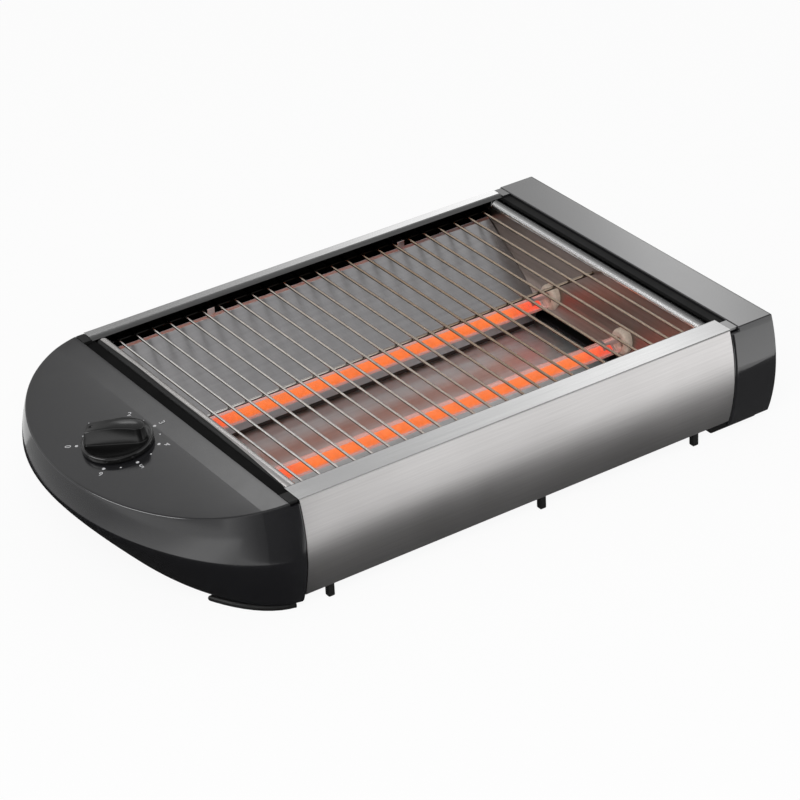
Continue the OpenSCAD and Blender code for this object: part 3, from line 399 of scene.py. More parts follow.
def roundedCopy(nodeName, pieceName, width, finish, steps=2, carrier="housing", fold=30.0):
    piece = addObject(pieceName, nodes[nodeName].data.copy())
    with editing(piece.data) as shape:
        bmesh.ops.remove_doubles(shape, verts=shape.verts, dist=2e-6)
        bmesh.ops.dissolve_limit(shape, angle_limit=math.radians(0.4), verts=shape.verts, edges=shape.edges)
        sharp = [e for e in shape.edges if e.is_manifold and e.calc_face_angle(0) > math.radians(fold)]
        bmesh.ops.bevel(shape, geom=sharp, offset=width * mm, offset_type="OFFSET", segments=steps,
                        profile=0.5, affect="EDGES", clamp_overlap=False)
        bmesh.ops.recalc_face_normals(shape, faces=shape.faces)
    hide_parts(nodeName)
    dress(piece, finish, carrier, 40.0)
    return evenNormals(piece)


def pieceNamed(nodeName):
    first, *rest = nodeName.split("_")
    return first + "".join(word.capitalize() for word in rest)


def secondFinish(pieceName, finish, where):
    mesh = bpy.data.objects[pieceName].data
    mesh.materials.append(finish)
    for face in mesh.polygons:
        if where(face):
            face.material_index = 1


def cadFinish(nodeName, finish):
    node = nodes[nodeName]
    node.data.materials.clear()
    node.data.materials.append(finish)


def turnedPiece(name, outline, steps):
    verts, faces, count = [], [], len(outline)
    for i in range(steps):
        a = 2 * math.pi * i / steps
        verts += [(r * math.cos(a), r * math.sin(a), z) for r, z in outline]
    for i in range(steps):
        for k in range(count - 1):
            a, b = i * count + k, ((i + 1) % steps) * count + k
            faces.append([a, b, b + 1, a + 1])
    return rawPiece(name, verts, faces)


def layAlongX(piece, way, spot):  # turns a piece made along Z, and sets it at a spot in mm
    x, y, z = Vector(spot) * mm
    piece.data.transform(Matrix(((0, 0, way, x), (0, 1, 0, y), (-way, 0, 0, z), (0, 0, 0, 1))))


def splitAt(piece, axis, places):  # extra rows beside the edges keep the wide faces evenly shaded
    way = Vector((axis == "X", axis == "Y", axis == "Z"))
    with editing(piece.data) as shape:
        for place in places:
            every = shape.verts[:] + shape.edges[:] + shape.faces[:]
            bmesh.ops.bisect_plane(shape, geom=every, dist=1e-6, plane_co=way * place * mm, plane_no=way)
    return piece


def weld(piece):
    with editing(piece.data) as shape:
        bmesh.ops.remove_doubles(shape, verts=shape.verts, dist=1e-6)
        bmesh.ops.dissolve_degenerate(shape, dist=1e-7, edges=shape.edges)
        bmesh.ops.recalc_face_normals(shape, faces=shape.faces)
    return piece


def ringFaces(rings, count):  # faces between closed rings of points
    faces = []
    for j in range(rings - 1):
        for i in range(count):
            a, b = j * count + i, j * count + (i + 1) % count
            faces.append([a, b, b + count, a + count])
    return faces


def softCorner(before, corner, after, radius, steps=4):
    a = corner + (before - corner).normalized() * radius
    b = corner + (after - corner).normalized() * radius
    return [a.lerp(corner, t).lerp(corner.lerp(b, t), t) for t in [i / steps for i in range(steps + 1)]]


# control cap: half ovals from the deck's rim down to the bottom, hollow, with a ledge beside the bed
controlCap = {
    "deckL": 79.0, "bulge": 3.0, "rimL": 55.0, "wall": 2.5, "proud": 0.6,
    "stripW": 20.0, "stripDrop": 1.5, "tilt": 6.5, "tipEdge": 26.0, "sideEdge": 37.0, "rimH": 4.0,
    "rimSoft": 0.9, "edgeSoft": 2.2, "fall": 1.15, "rows": 14, "angleStep": 3.0,
    "ledgeW": 5.5, "ledgeDrop": 2.5, "ledgeSoft": 0.5, "collarW": 0.9, "collarRows": (-4, 72, 2),
    "deckWall": 2.55, "bedWall": 5.2, "bedU": 9.0, "skirtDrop": 14.0,  # inner side
    "clear": 4.0, "past": 2.0, "cutHalf": 140.0,  # how far the cutters reach past the shell
    "padT": 1.8, "padBack": 1.0, "padHalf": 102.6, "padLow": 49.5,
    "glandU": 14.0, "glandY": 108.0, "glandZ": 26.0, "seatR": 8.65, "seatDeep": 30.0,
}
ledgeZ = toaster["topZ"] - controlCap["ledgeDrop"]


def deckZ(u):
    c = controlCap
    if u < c["stripW"]:
        return toaster["topZ"] - c["stripDrop"] * u / c["stripW"]
    return toaster["topZ"] - c["stripDrop"] - (u - c["stripW"]) * math.tan(math.radians(c["tilt"]))


def capRing(k, a, inset):  # rings 0 to 5 lead from the deck to the edge, 5 to 10 on to the bottom
    c, top = controlCap, toaster["topZ"]
    if k <= 5:
        side = mix(top, top - c["sideEdge"], k / 5)
        tip = mix(deckZ(c["deckL"]), top - c["tipEdge"], k / 5)
        reach = c["deckL"] + c["bulge"] * math.sin(math.radians(18 * k))
    else:
        t = (k - 5) / 5
        side = mix(top - c["sideEdge"], c["rimH"], t)
        tip = mix(top - c["tipEdge"], toaster["footH"], t)
        reach = mix(c["deckL"] + c["bulge"], c["rimL"], t ** c["fall"])
    wide = (sideY(side) + c["proud"] - inset) * math.sin(a)
    return Vector((-inset - (reach - 2 * inset) * math.cos(a), wide, mix(side, tip, math.cos(a))))


def capProfile(a, inset):
    c = controlCap
    rim = capRing(0, a, inset)
    if inset > 0:  # inner side, thicker beside the bed where the ledge is
        rim.z = deckZ(-rim.x) - (c["deckWall"] if -rim.x > c["bedU"] else c["bedWall"])
        line = [rim] + [capRing(k * 0.5, a, inset) for k in range(2, 20)]
        return line + [capRing(10, a, inset) - Vector((0, 0, c["skirtDrop"]))]
    rim.z = deckZ(-rim.x)
    inward = Vector((math.cos(a) / c["deckL"], -math.sin(a) / toaster["halfW"], 0)).normalized()
    deckIn = rim + inward * 4
    deckIn.z = deckZ(-deckIn.x)
    line = softCorner(deckIn, rim, capRing(0.5, a, 0), c["rimSoft"])
    line += [capRing(k * 0.5, a, 0) for k in range(1, 10)]
    line += softCorner(capRing(4.5, a, 0), capRing(5, a, 0), capRing(5.5, a, 0), c["edgeSoft"], 5)
    return line + [capRing(k * 0.5, a, 0) for k in range(11, 21)]


def capVolume(name, inset):
    c = controlCap
    half = [i * c["angleStep"] for i in range(int(90 / c["angleStep"]) + 1)]
    low, high = 60.0, 89.0  # the angle whose deck row lies on the strip's edge
    for i in range(40):
        middle = (low + high) / 2
        if -capProfile(math.radians(middle), inset)[0].x > c["stripW"]:
            low = middle
        else:
            high = middle
    half = sorted(half + [low])
    angles = [-a for a in reversed(half[1:])] + half
    lines = [capProfile(math.radians(a), inset) for a in angles]
    count, depth, mid = len(angles), len(lines[0]), len(half) - 1
    verts = [p for line in lines for p in line]
    faces = []
    for i in range(count - 1):
        for k in range(depth - 1):
            a, b = i * depth + k, (i + 1) * depth + k
            faces.append([a, b, b + 1, a + 1])
    walls = []  # rows across the deck and the bottom, joined from the tip to the bed
    for k in (0, depth - 1):
        rows = [[mid * depth + k]]
        for j in range(1, len(half)):
            first, last = lines[mid - j][k], lines[mid + j][k]
            row = [(mid - j) * depth + k]
            for s in range(1, c["rows"]):
                row.append(len(verts))
                verts.append(first.lerp(last, s / c["rows"]))
            row.append((mid + j) * depth + k)
            rows.append(row)
        for i in range(c["rows"]):
            faces.append([rows[0][0], rows[1][i], rows[1][i + 1]])
        for j in range(1, len(rows) - 1):
            for i in range(c["rows"]):
                faces.append([rows[j][i], rows[j + 1][i], rows[j + 1][i + 1], rows[j][i + 1]])
        walls.append(rows[-1])
    left = list(range(1, depth - 1))
    right = [(count - 1) * depth + k for k in range(1, depth - 1)]
    faces.append(walls[0] + right + walls[1][::-1] + left[::-1])
    return rawPiece(name, [(v.x + toaster["xLeft"], v.y, v.z) for v in verts], faces)


def ledgeOutline():
    c, top = controlCap, deckZ(controlCap["ledgeW"])
    soft = c["ledgeSoft"]
    outline = [(-c["ledgeW"] - soft, top + c["clear"])]
    outline += arc(-c["ledgeW"] - soft, top - soft, soft, 90, -22.5, 5)
    outline += [(-c["ledgeW"], ledgeZ), (c["clear"], ledgeZ), (c["clear"], top + c["clear"])]
    return [(toaster["xLeft"] + u, z) for u, z in outline]


def collarCutter(seamX, way, side):
    c = controlCap
    heights = range(*c["collarRows"])
    near = [(side * sideY(z), z) for z in heights]
    far = [(side * (sideY(z) + c["clear"]), z) for z in reversed(heights)]
    low, high = sorted((seamX - way * c["collarW"], seamX + way * c["past"]))
    return prismAlong("collar", "X", low, high, near + far)


def seatPad():
    c, seamX = controlCap, toaster["xLeft"]
    outline = rectangle((-c["padHalf"], c["padLow"]), (c["padHalf"], ledgeZ))
    return prismAlong("pad", "X", seamX - c["padBack"], seamX + c["padT"], outline)


def buildControlCap():
    c, seamX = controlCap, toaster["xLeft"]
    cap = capVolume("controlCapShell", 0)
    carve(cap, capVolume("controlCapInside", c["wall"]))
    carve(cap, prismAlong("ledge", "Y", -c["cutHalf"], c["cutHalf"], ledgeOutline()))
    for side in (-1, 1):
        carve(cap, collarCutter(seamX, 1, side))
    hole = weld(turnedPiece("glandHole", rectangle((0, 0), (c["seatR"], c["seatDeep"])), 48))
    place = Matrix.Translation(Vector((seamX - c["glandU"], c["glandY"], c["glandZ"])) * mm)
    hole.data.transform(place @ Matrix.Rotation(math.radians(-90), 4, "X"))
    carve(cap, hole)
    carve(cap, seatPad(), "UNION")
    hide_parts("control_cap")
    dress(cap, capPlastic, smoothAngle=28.0)
    evenNormals(cap)


endCap = {"soft": 0.7, "seamRow": 0.8, "edgeRow": 1.6}


def buildEndCap():
    e, seamX = endCap, toaster["xRight"]
    cap = roundedCopy("end_cap", "plainEndCap", e["soft"], endPlastic, 3)
    cap.modifiers.clear()
    for side in (-1, 1):
        carve(cap, collarCutter(seamX, -1, side))
    splitAt(cap, "X", (seamX + controlCap["collarW"] + e["seamRow"], toaster["xEnd"] - e["edgeRow"]))
    splitAt(cap, "Z", (toaster["topZ"] - e["edgeRow"],))
    dress(cap, endPlastic, smoothAngle=28.0)
    evenNormals(cap)


# black strips and fillers that lie on the ledges, between each cap and the bed; the strips are painted shade
# for the dark groove there
grooveStrip = {"thick": 0.7, "soft": 0.2, "half": 113.4, "pad": 1.9, "seam": -0.1, "end": -5.35,
        "cornerFrom": -0.1, "cornerTo": -5.4, "cornerIn": 104.0, "cornerDrop": 0.2}


def buildFiller(name, seamX, way, width, start, end, top, finish):
    soft = grooveStrip["soft"]
    outline = [(start, ledgeZ), (end, ledgeZ), (end, top - soft), (end + soft, top),
               (start - soft, top), (start, top - soft)]
    piece = prismAlong(name, "Y", *sorted(width), [(seamX + way * u, z) for u, z in outline])
    dress(piece, finish)


def buildSeal(name, seamX, way, start, end, finish):
    s = grooveStrip
    buildFiller(name, seamX, way, (-s["half"], s["half"]), start, end, ledgeZ + s["thick"], finish)


def buildCorner(name, seamX, way, side, finish):  # fills the ledge's open end beside the rail
    s = grooveStrip
    width = (side * s["cornerIn"], side * s["half"])
    top = toaster["topZ"] - s["cornerDrop"]
    buildFiller(name, seamX, way, width, s["cornerFrom"], s["cornerTo"], top, finish)


lip = {"from": 2.1, "beadU": 5.8, "beadZ": 63.5, "beadR": 4.0, "gap": 0.05, "thick": 0.6, "thin": 0.5,
       "steps": 8,
       "reach": [(-102.4, 2.3), (-95, 2.5), (-60, 3.6), (-20, 4.35), (20, 4.35), (60, 4.8), (102.4, 4.0)]}


def buildLip():  # a dark cover over the bead's outer flank, less of it toward the front: painted shade on that flank
    p, seamX = lip, toaster["xLeft"]
    verts, count = [], 2 * (p["steps"] + 1)
    for y, reach in p["reach"]:
        under, over = [], []
        for i in range(p["steps"] + 1):
            t = i / p["steps"]
            u = mix(p["from"], reach, t)
            z = p["beadZ"] + math.sqrt(p["beadR"] ** 2 - (u - p["beadU"]) ** 2) + p["gap"]
            under.append((seamX + u, y, z))
            over.append((seamX + u, y, z + p["thick"] * (1 - p["thin"] * t)))
        verts += under + over[::-1]
    faces = ringFaces(len(p["reach"]), count)
    faces += [list(range(count)), [len(verts) - 1 - i for i in range(count)]]
    dress(rawPiece("controlLip", verts, faces), lipPlastic, smoothAngle=40.0)


buildControlCap()
buildEndCap()
# black strips on the ledges: painted shade for the groove beside each cap
buildSeal("controlSeal", toaster["xLeft"], 1, grooveStrip["pad"], grooveStrip["end"], grooveShadeBlack)
buildSeal("endSeal", toaster["xRight"], -1, grooveStrip["seam"], grooveStrip["end"], grooveShadeGrey)
buildSeal("endPadSeal", toaster["xRight"], -1, grooveStrip["pad"], grooveStrip["seam"], grooveShadeBlack)
for word, side in (("Front", -1), ("Rear", 1)):
    buildCorner("controlCorner" + word, toaster["xLeft"], 1, side, lipPlastic)
    buildCorner("endCorner" + word, toaster["xRight"], -1, side, endPlastic)
buildLip()
print("caps built")

# steel sheets, feet and covers with rounded edges
sheets = [
    (("front_panel", "rear_panel"), 0.25, brushedSteel, "brushed_steel"),
    (("left_end_plate", "right_end_plate"), 0.2, plateSteel, "plate_steel"),
    (("front_reflector", "rear_reflector"), 0.15, reflectorSheet, "reflector_sheet"),
    (("rack_clips",), 0.2, brightSteel, "bright_steel"),
    (("base_plate", "tray_runners"), 0.2, plainSteel, "plain_steel"),
    (("control_cover", "end_cover"), 0.4, blackPlastic, "black_plastic"),
    (("tab_feet",), 0.6, footPlastic, "foot_plastic"),
    (("control_feet",), 1.2, footPlastic, "foot_plastic"),
    (("end_feet",), 1.0, footPlastic, "foot_plastic"),
    (("cord_gland",), 0.6, blackPlastic, "black_plastic"),
]  # nodes, width of the rounding in mm, finish and slot
for nodeNames, width, finish, slotName in sheets:
    for nodeName in nodeNames:
        roundedCopy(nodeName, pieceNamed(nodeName), width, finish)
rail = {"outer": 114.4, "thick": 0.8, "soft": 0.25, "paintedShadeFrom": 1.0, "upward": 0.5, "crisp": 0.3,
        "steps": 12}
frontRoll = {"flat": 100.2, "rollR": 1.2, "roll": 75.0}
rearRoll = {"flat": 108.2, "rollR": 5.5, "roll": 42.0}


def buildRail(nodeName, side, roll, finish):
    r = {**rail, **roll}
    lean = math.sin(math.radians(r["paintedShadeFrom"]))
    top = [(r["flat"] + r["crisp"], toaster["topZ"])]  # this row keeps the flat evenly shaded
    middle, turns = toaster["topZ"] - r["rollR"], (90, r["roll"] / r["steps"], r["steps"] + 1)
    top += arc(r["flat"], middle, r["rollR"], *turns)
    under = arc(r["flat"], middle, r["rollR"] - r["thick"], *turns)
    low, high, outer, soft = toaster["topZ"] - r["thick"], toaster["topZ"], r["outer"], r["soft"]
    hem = [(outer - soft, low), (outer, low + soft), (outer, high - soft), (outer - soft, high)]
    outline = [(side * y, z) for y, z in hem + top + under[::-1]]
    piece = prismAlong(pieceNamed(nodeName), "X", toaster["xLeft"], toaster["xRight"], outline)
    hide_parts(nodeName)
    dress(piece, finish, smoothAngle=40.0)  # the rolled edge gets a darker finish, painted shade
    secondFinish(piece.name, rollPaintedShade,
                 lambda face: face.normal.z > r["upward"] and -side * face.normal.y > lean)


buildRail("front_rail", -1, frontRoll, frontRailSteel)
buildRail("rear_rail", 1, rearRoll, brightSteel)
beadFrom = lip["beadZ"] - 0.6  # above this the end plates take the bright bead finish, below it the darker, browner sheet finish
farBow = {"from": 120.0, "out": [(8, 1.2), (24, 3.0), (33, 3.6), (42, 2.8), (60, 0.0), (70, 0.0)]}
toe = {"top": 13.8, "foot": 0.4, "drop": 0.8, "upright": 0.9}  # below their top the toes take a dark finish, painted shade
innerLean = 0.3  # least lean of a panel's inner faces


def bowOut(pieceName):  # the far end swells behind the ceramics
    stations = farBow["out"]
    piece = splitAt(bpy.data.objects[pieceName], "Z", [z for z, out in stations[1:-2]])
    for v in piece.data.vertices:
        if v.co.x < farBow["from"] * mm:
            continue
        for (z0, out0), (z1, out1) in zip(stations, stations[1:]):
            if z0 * mm <= v.co.z < z1 * mm:
                v.co.x += mix(out0, out1, (v.co.z / mm - z0) / (z1 - z0)) * mm
                break


def lowerToe(pieceName):  # the toes reach down to just above the tray
    mesh = splitAt(bpy.data.objects[pieceName], "Z", [toe["top"]]).data
    low = min(v.co.z for v in mesh.vertices)
    for v in mesh.vertices:
        if v.co.z < low + toe["foot"] * mm:
            v.co.z -= toe["drop"] * mm


def isFoot(face):
    return abs(face.normal.y) > toe["upright"] and face.center.z < toe["top"] * mm


for pieceName, finish in (("leftEndPlate", beadSteel), ("rightEndPlate", farBeadPaintedLight)):
    secondFinish(pieceName, finish, lambda face: face.center.z > beadFrom * mm)
for pieceName in ("rightEndPlate", "frontReflector", "rearReflector"):
    bowOut(pieceName)
for pieceName in ("frontReflector", "rearReflector"):  # their feet take the dark finish, painted shade above the tray
    lowerToe(pieceName)
    secondFinish(pieceName, toeSheet, isFoot)
secondFinish("frontPanel", innerPaintedShade, lambda face: face.normal.y > innerLean)  # inner faces near-black, painted shade
secondFinish("rearPanel", innerPaintedShade, lambda face: face.normal.y < -innerLean)
ceramic = {"r": 8.2, "neckR": 6.0, "holeR": 3.3, "holeDeep": 4.0, "leftFace": 22.0, "rightFace": 18.4,
           "back": 12.0, "end": 10.2, "soft": 2.2, "neckSoft": 0.5, "backSoft": 0.8, "holeSoft": 0.9}


def buildCeramic(nodeName, end, side):
    c = ceramic
    front, soft, hole = c[end + "Face"], c["soft"], c["holeSoft"]
    neck, low, back = c["neckR"], c["end"], c["back"]
    outline = [(0.0, low), (neck - c["neckSoft"], low), (neck, low + c["neckSoft"]), (neck, back),
               (c["r"] - c["backSoft"], back), (c["r"], back + c["backSoft"])]
    outline += arc(c["r"] - soft, front - soft, soft, 0, 15, 7)  # rounded rim
    outline += arc(c["holeR"] + hole, front - hole, hole, 90, 22.5, 5)  # hollow face round the tube's end
    outline += [(c["holeR"], front - c["holeDeep"]), (0.0, front - c["holeDeep"])]
    piece = turnedPiece(pieceNamed(nodeName), outline, 56)
    seam, way = (toaster["xLeft"], 1) if end == "left" else (toaster["xRight"], -1)
    layAlongX(piece, way, (seam, side * toaster["tubeY"], toaster["ceramicZ"]))
    weld(piece)
    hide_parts(nodeName)
    dress(piece, ceramicFinish, smoothAngle=50.0)


for end in ("left", "right"):
    for word, side in (("front", -1), ("rear", 1)):
        buildCeramic(word + "_" + end + "_ceramic", end, side)
roundedCopy("crumb_tray", "crumbTray", 0.25, trayPaintedLight, carrier="crumb_drawer")
roundedCopy("tray_pull", "trayPull", 0.6, pullPlastic, 3, "crumb_drawer")
print("sheets and feet rounded")

# parts that keep the CAD shape
kept = {
    "toast_rack": wireChrome, "terminal_pins": plainSteel, "terminal_block": blockIvory,
    "timer_housing": timerMetal, "timer_bell": brassSheet, "timer_tabs": brassSheet,
    "timer_shaft": plainSteel, "timer_screws": screwSteel, "base_screws": screwSteel,
    "cap_screws": screwSteel, "plate_screws": screwSteel, **leadFinishes,
}
for nodeName, finish in kept.items():
    cadFinish(nodeName, finish)

# quartz tubes with their glowing windings
tubes = {"outerR": 5.0, "innerR": 4.0, "from": -96.9, "to": 150.6, "soft": 0.35, "rows": 24,
         "coilR": 2.95, "coilDrop": 0.5, "coilFrom": -85.6, "coilTo": 146.0, "turns": 56, "turnSteps": 22,
         "ribbonW": 1.95, "ribbonT": 0.3, "wireSides": 8}


def buildTube(nodeName, y):
    t = tubes
    s, low, high = t["soft"], t["from"], t["to"]
    outline = [(t["innerR"], low + s), (t["innerR"] + s, low), (t["outerR"] - s, low), (t["outerR"], low + s)]
    steps = t["rows"]
    outline += [(t["outerR"], mix(low + s, high - s, i / steps)) for i in range(1, steps + 1)]
    outline += [(t["outerR"] - s, high), (t["innerR"] + s, high), (t["innerR"], high - s)]
    outline += [(t["innerR"], mix(high - s, low + s, i / steps)) for i in range(1, steps + 1)]
    piece = turnedPiece(pieceNamed(nodeName), outline, 48)
    layAlongX(piece, 1, (0, y, toaster["tubeZ"]))
    weld(piece)
    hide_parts(nodeName)
    dress(piece, quartzFinish, smoothAngle=60.0)


def buildCoil(nodeName, y):
    t = tubes
    count, n = t["turns"] * t["turnSteps"], t["wireSides"]
    pitch = (t["coilTo"] - t["coilFrom"]) / t["turns"]
    verts = []
    for i in range(count + 1):
        a = 2 * math.pi * i / t["turnSteps"]
        out = Vector((0, math.cos(a), math.sin(a)))
        spin = Vector((0, -math.sin(a), math.cos(a)))
        course = (spin * t["coilR"] + Vector((pitch / (2 * math.pi), 0, 0))).normalized()
        flat = course.cross(out)
        x = mix(t["coilFrom"], t["coilTo"], i / count)
        middle = Vector((x, y, toaster["tubeZ"] - t["coilDrop"])) + out * t["coilR"]
        for k in range(n):
            b = 2 * math.pi * k / n
            verts.append(middle + out * math.cos(b) * t["ribbonT"] + flat * math.sin(b) * t["ribbonW"])
    faces = ringFaces(count + 1, n)
    faces += [list(range(n)), [count * n + k for k in reversed(range(n))]]
    piece = rawPiece(pieceNamed(nodeName), verts, faces)
    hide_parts(nodeName)
    dress(piece, glowFinish, smoothAngle=80.0)


for side, y in (("front", -toaster["tubeY"]), ("rear", toaster["tubeY"])):
    buildTube(side + "_quartz_tube", y)
    buildCoil(side + "_heating_coil", y)
print("tubes and coils wound")

# knob: a lipped disc with an arched bar grip
knob = {"r": 20.0, "gap": 0.4, "discT": 2.6, "rim": 3.0, "gripH": 10.5, "gripW": 10.0, "gripL": 16.9,
        "gripSoft": 1.3, "draft": 0.4, "arch": 60.0, "sink": 0.1, "zero": 140.0, "u": 43.0,
        "foot": [(-0.6, 0.0), (-0.15, 0.2), (0.0, 0.7)],  # the disc's edge, out from its radius and up
        "edge": [(0.0, -0.1), (-0.15, 0.5), (-0.6, 0.9), (-1.2, 1.0)],  # its lip, up from the face
        "inside": [(1.2, 0.75), (0.5, 0.4), (0.0, 0.0)],  # the lip's inner side
        "dimple": [(0.0, 0.0), (0.78, 0.1), (1.3, 0.6), (1.4, 4.0), (0.0, 4.0)],
        "dimpleAt": 13.2, "dimpleDeep": 2.3,
        "levels": [(0.0, -0.55), (0.15, -0.25), (0.55, 0.0)],  # rise and shrink at the grip's foot
        "drops": [(0.7, 0.0), (0.42, 0.05), (0.2, 0.2), (0.06, 0.42), (0.0, 0.75)]}  # and at its rounded top
deckPlace = (Matrix.Translation(Vector((toaster["xLeft"] - knob["u"], 0, deckZ(knob["u"]))) * mm)
             @ Matrix.Rotation(math.radians(-controlCap["tilt"]), 4, "Y"))


def gripOutline(k, shrink):
    half, reach, soft = k["gripW"] / 2 - shrink, k["gripL"] - shrink, k["gripSoft"]
    upper = [(reach, 0.0)] + arc(reach - soft, half - soft, soft, 0, 18, 6)
    flat = reach - half
    upper += [(mix(reach - soft, -flat, i / 12), half) for i in range(1, 12)]
    upper += arc(-flat, 0.0, half, 90, 10, 10)
    upper[-1] = (-reach, 0.0)
    return upper + [(x, -y) for x, y in reversed(upper[1:-1])]


def buildKnob():
    k = knob
    low, top, r = k["gap"], k["gap"] + k["discT"], k["r"]
    outline = [(0, low)] + [(r + out, low + up) for out, up in k["foot"]]
    outline += [(r + out, top + up) for out, up in k["edge"]]
    outline += [(r - k["rim"] + out, top + up) for out, up in k["inside"]] + [(0, top)]
    disc = weld(turnedPiece("timerKnob", outline, 96))
    rings = []  # bar grip: one end flat with the pointer, the other round, flared at its foot
    for rise, shrink in k["levels"]:
        rings.append([(x, y, top - k["sink"] + rise) for x, y in gripOutline(k, shrink)])
    for drop, shrink in k["drops"]:
        ring = []
        for x, y in gripOutline(k, k["draft"] + shrink):
            ring.append((x, y, top + k["gripH"] - drop + math.sqrt(k["arch"] ** 2 - x * x) - k["arch"]))
        rings.append(ring)
    sides = len(rings[0])
    verts = [p for ring in rings for p in ring]
    faces = ringFaces(len(rings), sides)
    last = (len(rings) - 1) * sides
    for i in range(1, sides // 2 - 1):  # the top is bridged straight across the bar
        faces.append([last + i, last + i + 1, last + sides - i - 1, last + sides - i])
    faces.append([last, last + 1, last + sides - 1])
    faces.append([last + sides // 2 - 1, last + sides // 2, last + sides // 2 + 1])
    faces.append(list(range(sides))[::-1])
    grip = rawPiece("grip", verts, faces)
    dimple = weld(turnedPiece("dimple", k["dimple"], 32))
    place = Vector((k["dimpleAt"], 0, top + k["gripH"] - k["dimpleDeep"])) * mm
    dimple.data.transform(Matrix.Translation(place))
    carve(grip, dimple)
    carve(disc, grip, "UNION")
    disc.data.transform(deckPlace @ Matrix.Rotation(math.radians(k["zero"]), 4, "Z"))
    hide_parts("timer_knob")
    dress(disc, knobPlastic, "timer_dial", 40.0)


buildKnob()
print("knob built")

# dial marks: printed dots and plain numbers round the knob
dial = {"dotR": 23.2, "bigDot": 0.95, "smallDot": 0.5, "thick": 0.06, "minutes": 6, "sweep": 280.0,
        "numberR": 27.8, "numberSize": 5.0, "taper": 0.9, "sides": 24}


def makePrint():
    finish, tree, shader = startFinish("dialPrint")
    ink = tint(tree, grain(tree, 900.0), [(0.3, (0.56, 0.56, 0.57)), (0.7, (0.7, 0.7, 0.71))])
    setSockets(shader, {"Base Color": ink, "Roughness": 0.5})
    return finish


def onDial(radius, a):
    return Matrix.Translation(Vector((radius * math.cos(a), radius * math.sin(a), dial["thick"] / 2)) * mm)


def buildDial():
    d = dial
    shape = bmesh.new()
    for half in range(2 * d["minutes"] + 1):
        a = math.radians(knob["zero"] - d["sweep"] * half / (2 * d["minutes"]))
        r = d["bigDot"] if half % 2 == 0 else d["smallDot"]
        bmesh.ops.create_cone(shape, cap_ends=True, segments=d["sides"], radius1=r * mm,
                              radius2=r * mm * d["taper"], depth=d["thick"] * mm, matrix=onDial(d["dotR"], a))
    for minute in range(d["minutes"] + 1):
        a = math.radians(knob["zero"] - d["sweep"] * minute / d["minutes"])
        words = bpy.data.curves.new("number", "FONT")
        words.body = str(minute)
        words.size = d["numberSize"] * mm
        words.align_x, words.align_y = "CENTER", "CENTER"
        words.extrude = d["thick"] / 2 * mm
        words.resolution_u = 3
        holder = addObject("number", words)
        bpy.context.view_layer.update()
        mesh = bpy.data.meshes.new_from_object(holder.evaluated_get(bpy.context.evaluated_depsgraph_get()))
        mesh.transform(onDial(d["numberR"], a) @ Matrix.Rotation(a - math.pi / 2, 4, "Z"))
        shape.from_mesh(mesh)
        bpy.data.objects.remove(holder)
    mesh = bpy.data.meshes.new("dialMarks")
    shape.to_mesh(mesh)
    shape.free()
    mesh.transform(deckPlace)
    dress(addObject("dialMarks", mesh), makePrint(), smoothAngle=20.0)


buildDial()
print("dial marked")

# camera at the photograph's angle
camera = {"back": (-0.4702, -0.7250, 0.5033), "right": (0.8390, -0.5442, 0.0), "up": (0.2739, 0.4223, 0.8642),
          "roll": -2.83, "aim": (26.0, -4.0, 28.0), "aimRight": -6.46, "aimUp": -3.09, "away": 1754.6,
          "lens": 137.448}


def placeCamera():
    c = camera
    roll = math.radians(c["roll"])
    right, up, back = Vector(c["right"]), Vector(c["up"]), Vector(c["back"])
    across = right * math.cos(roll) + up * math.sin(roll)
    upward = up * math.cos(roll) - right * math.sin(roll)
    spot = Vector(c["aim"]) + across * c["aimRight"] + upward * c["aimUp"] + back * c["away"]
    turn = Matrix((across, upward, back)).transposed().to_4x4()
    eye = addObject("photoCamera", bpy.data.cameras.new("photoCamera"))
    eye.data.lens = c["lens"]
    eye.data.sensor_width = 36.0
    eye.data.sensor_fit = "HORIZONTAL"
    eye.data.clip_end = 50.0
    eye.matrix_world = Matrix.Translation(spot * mm) @ turn
    bpy.context.scene.camera = eye


placeCamera()

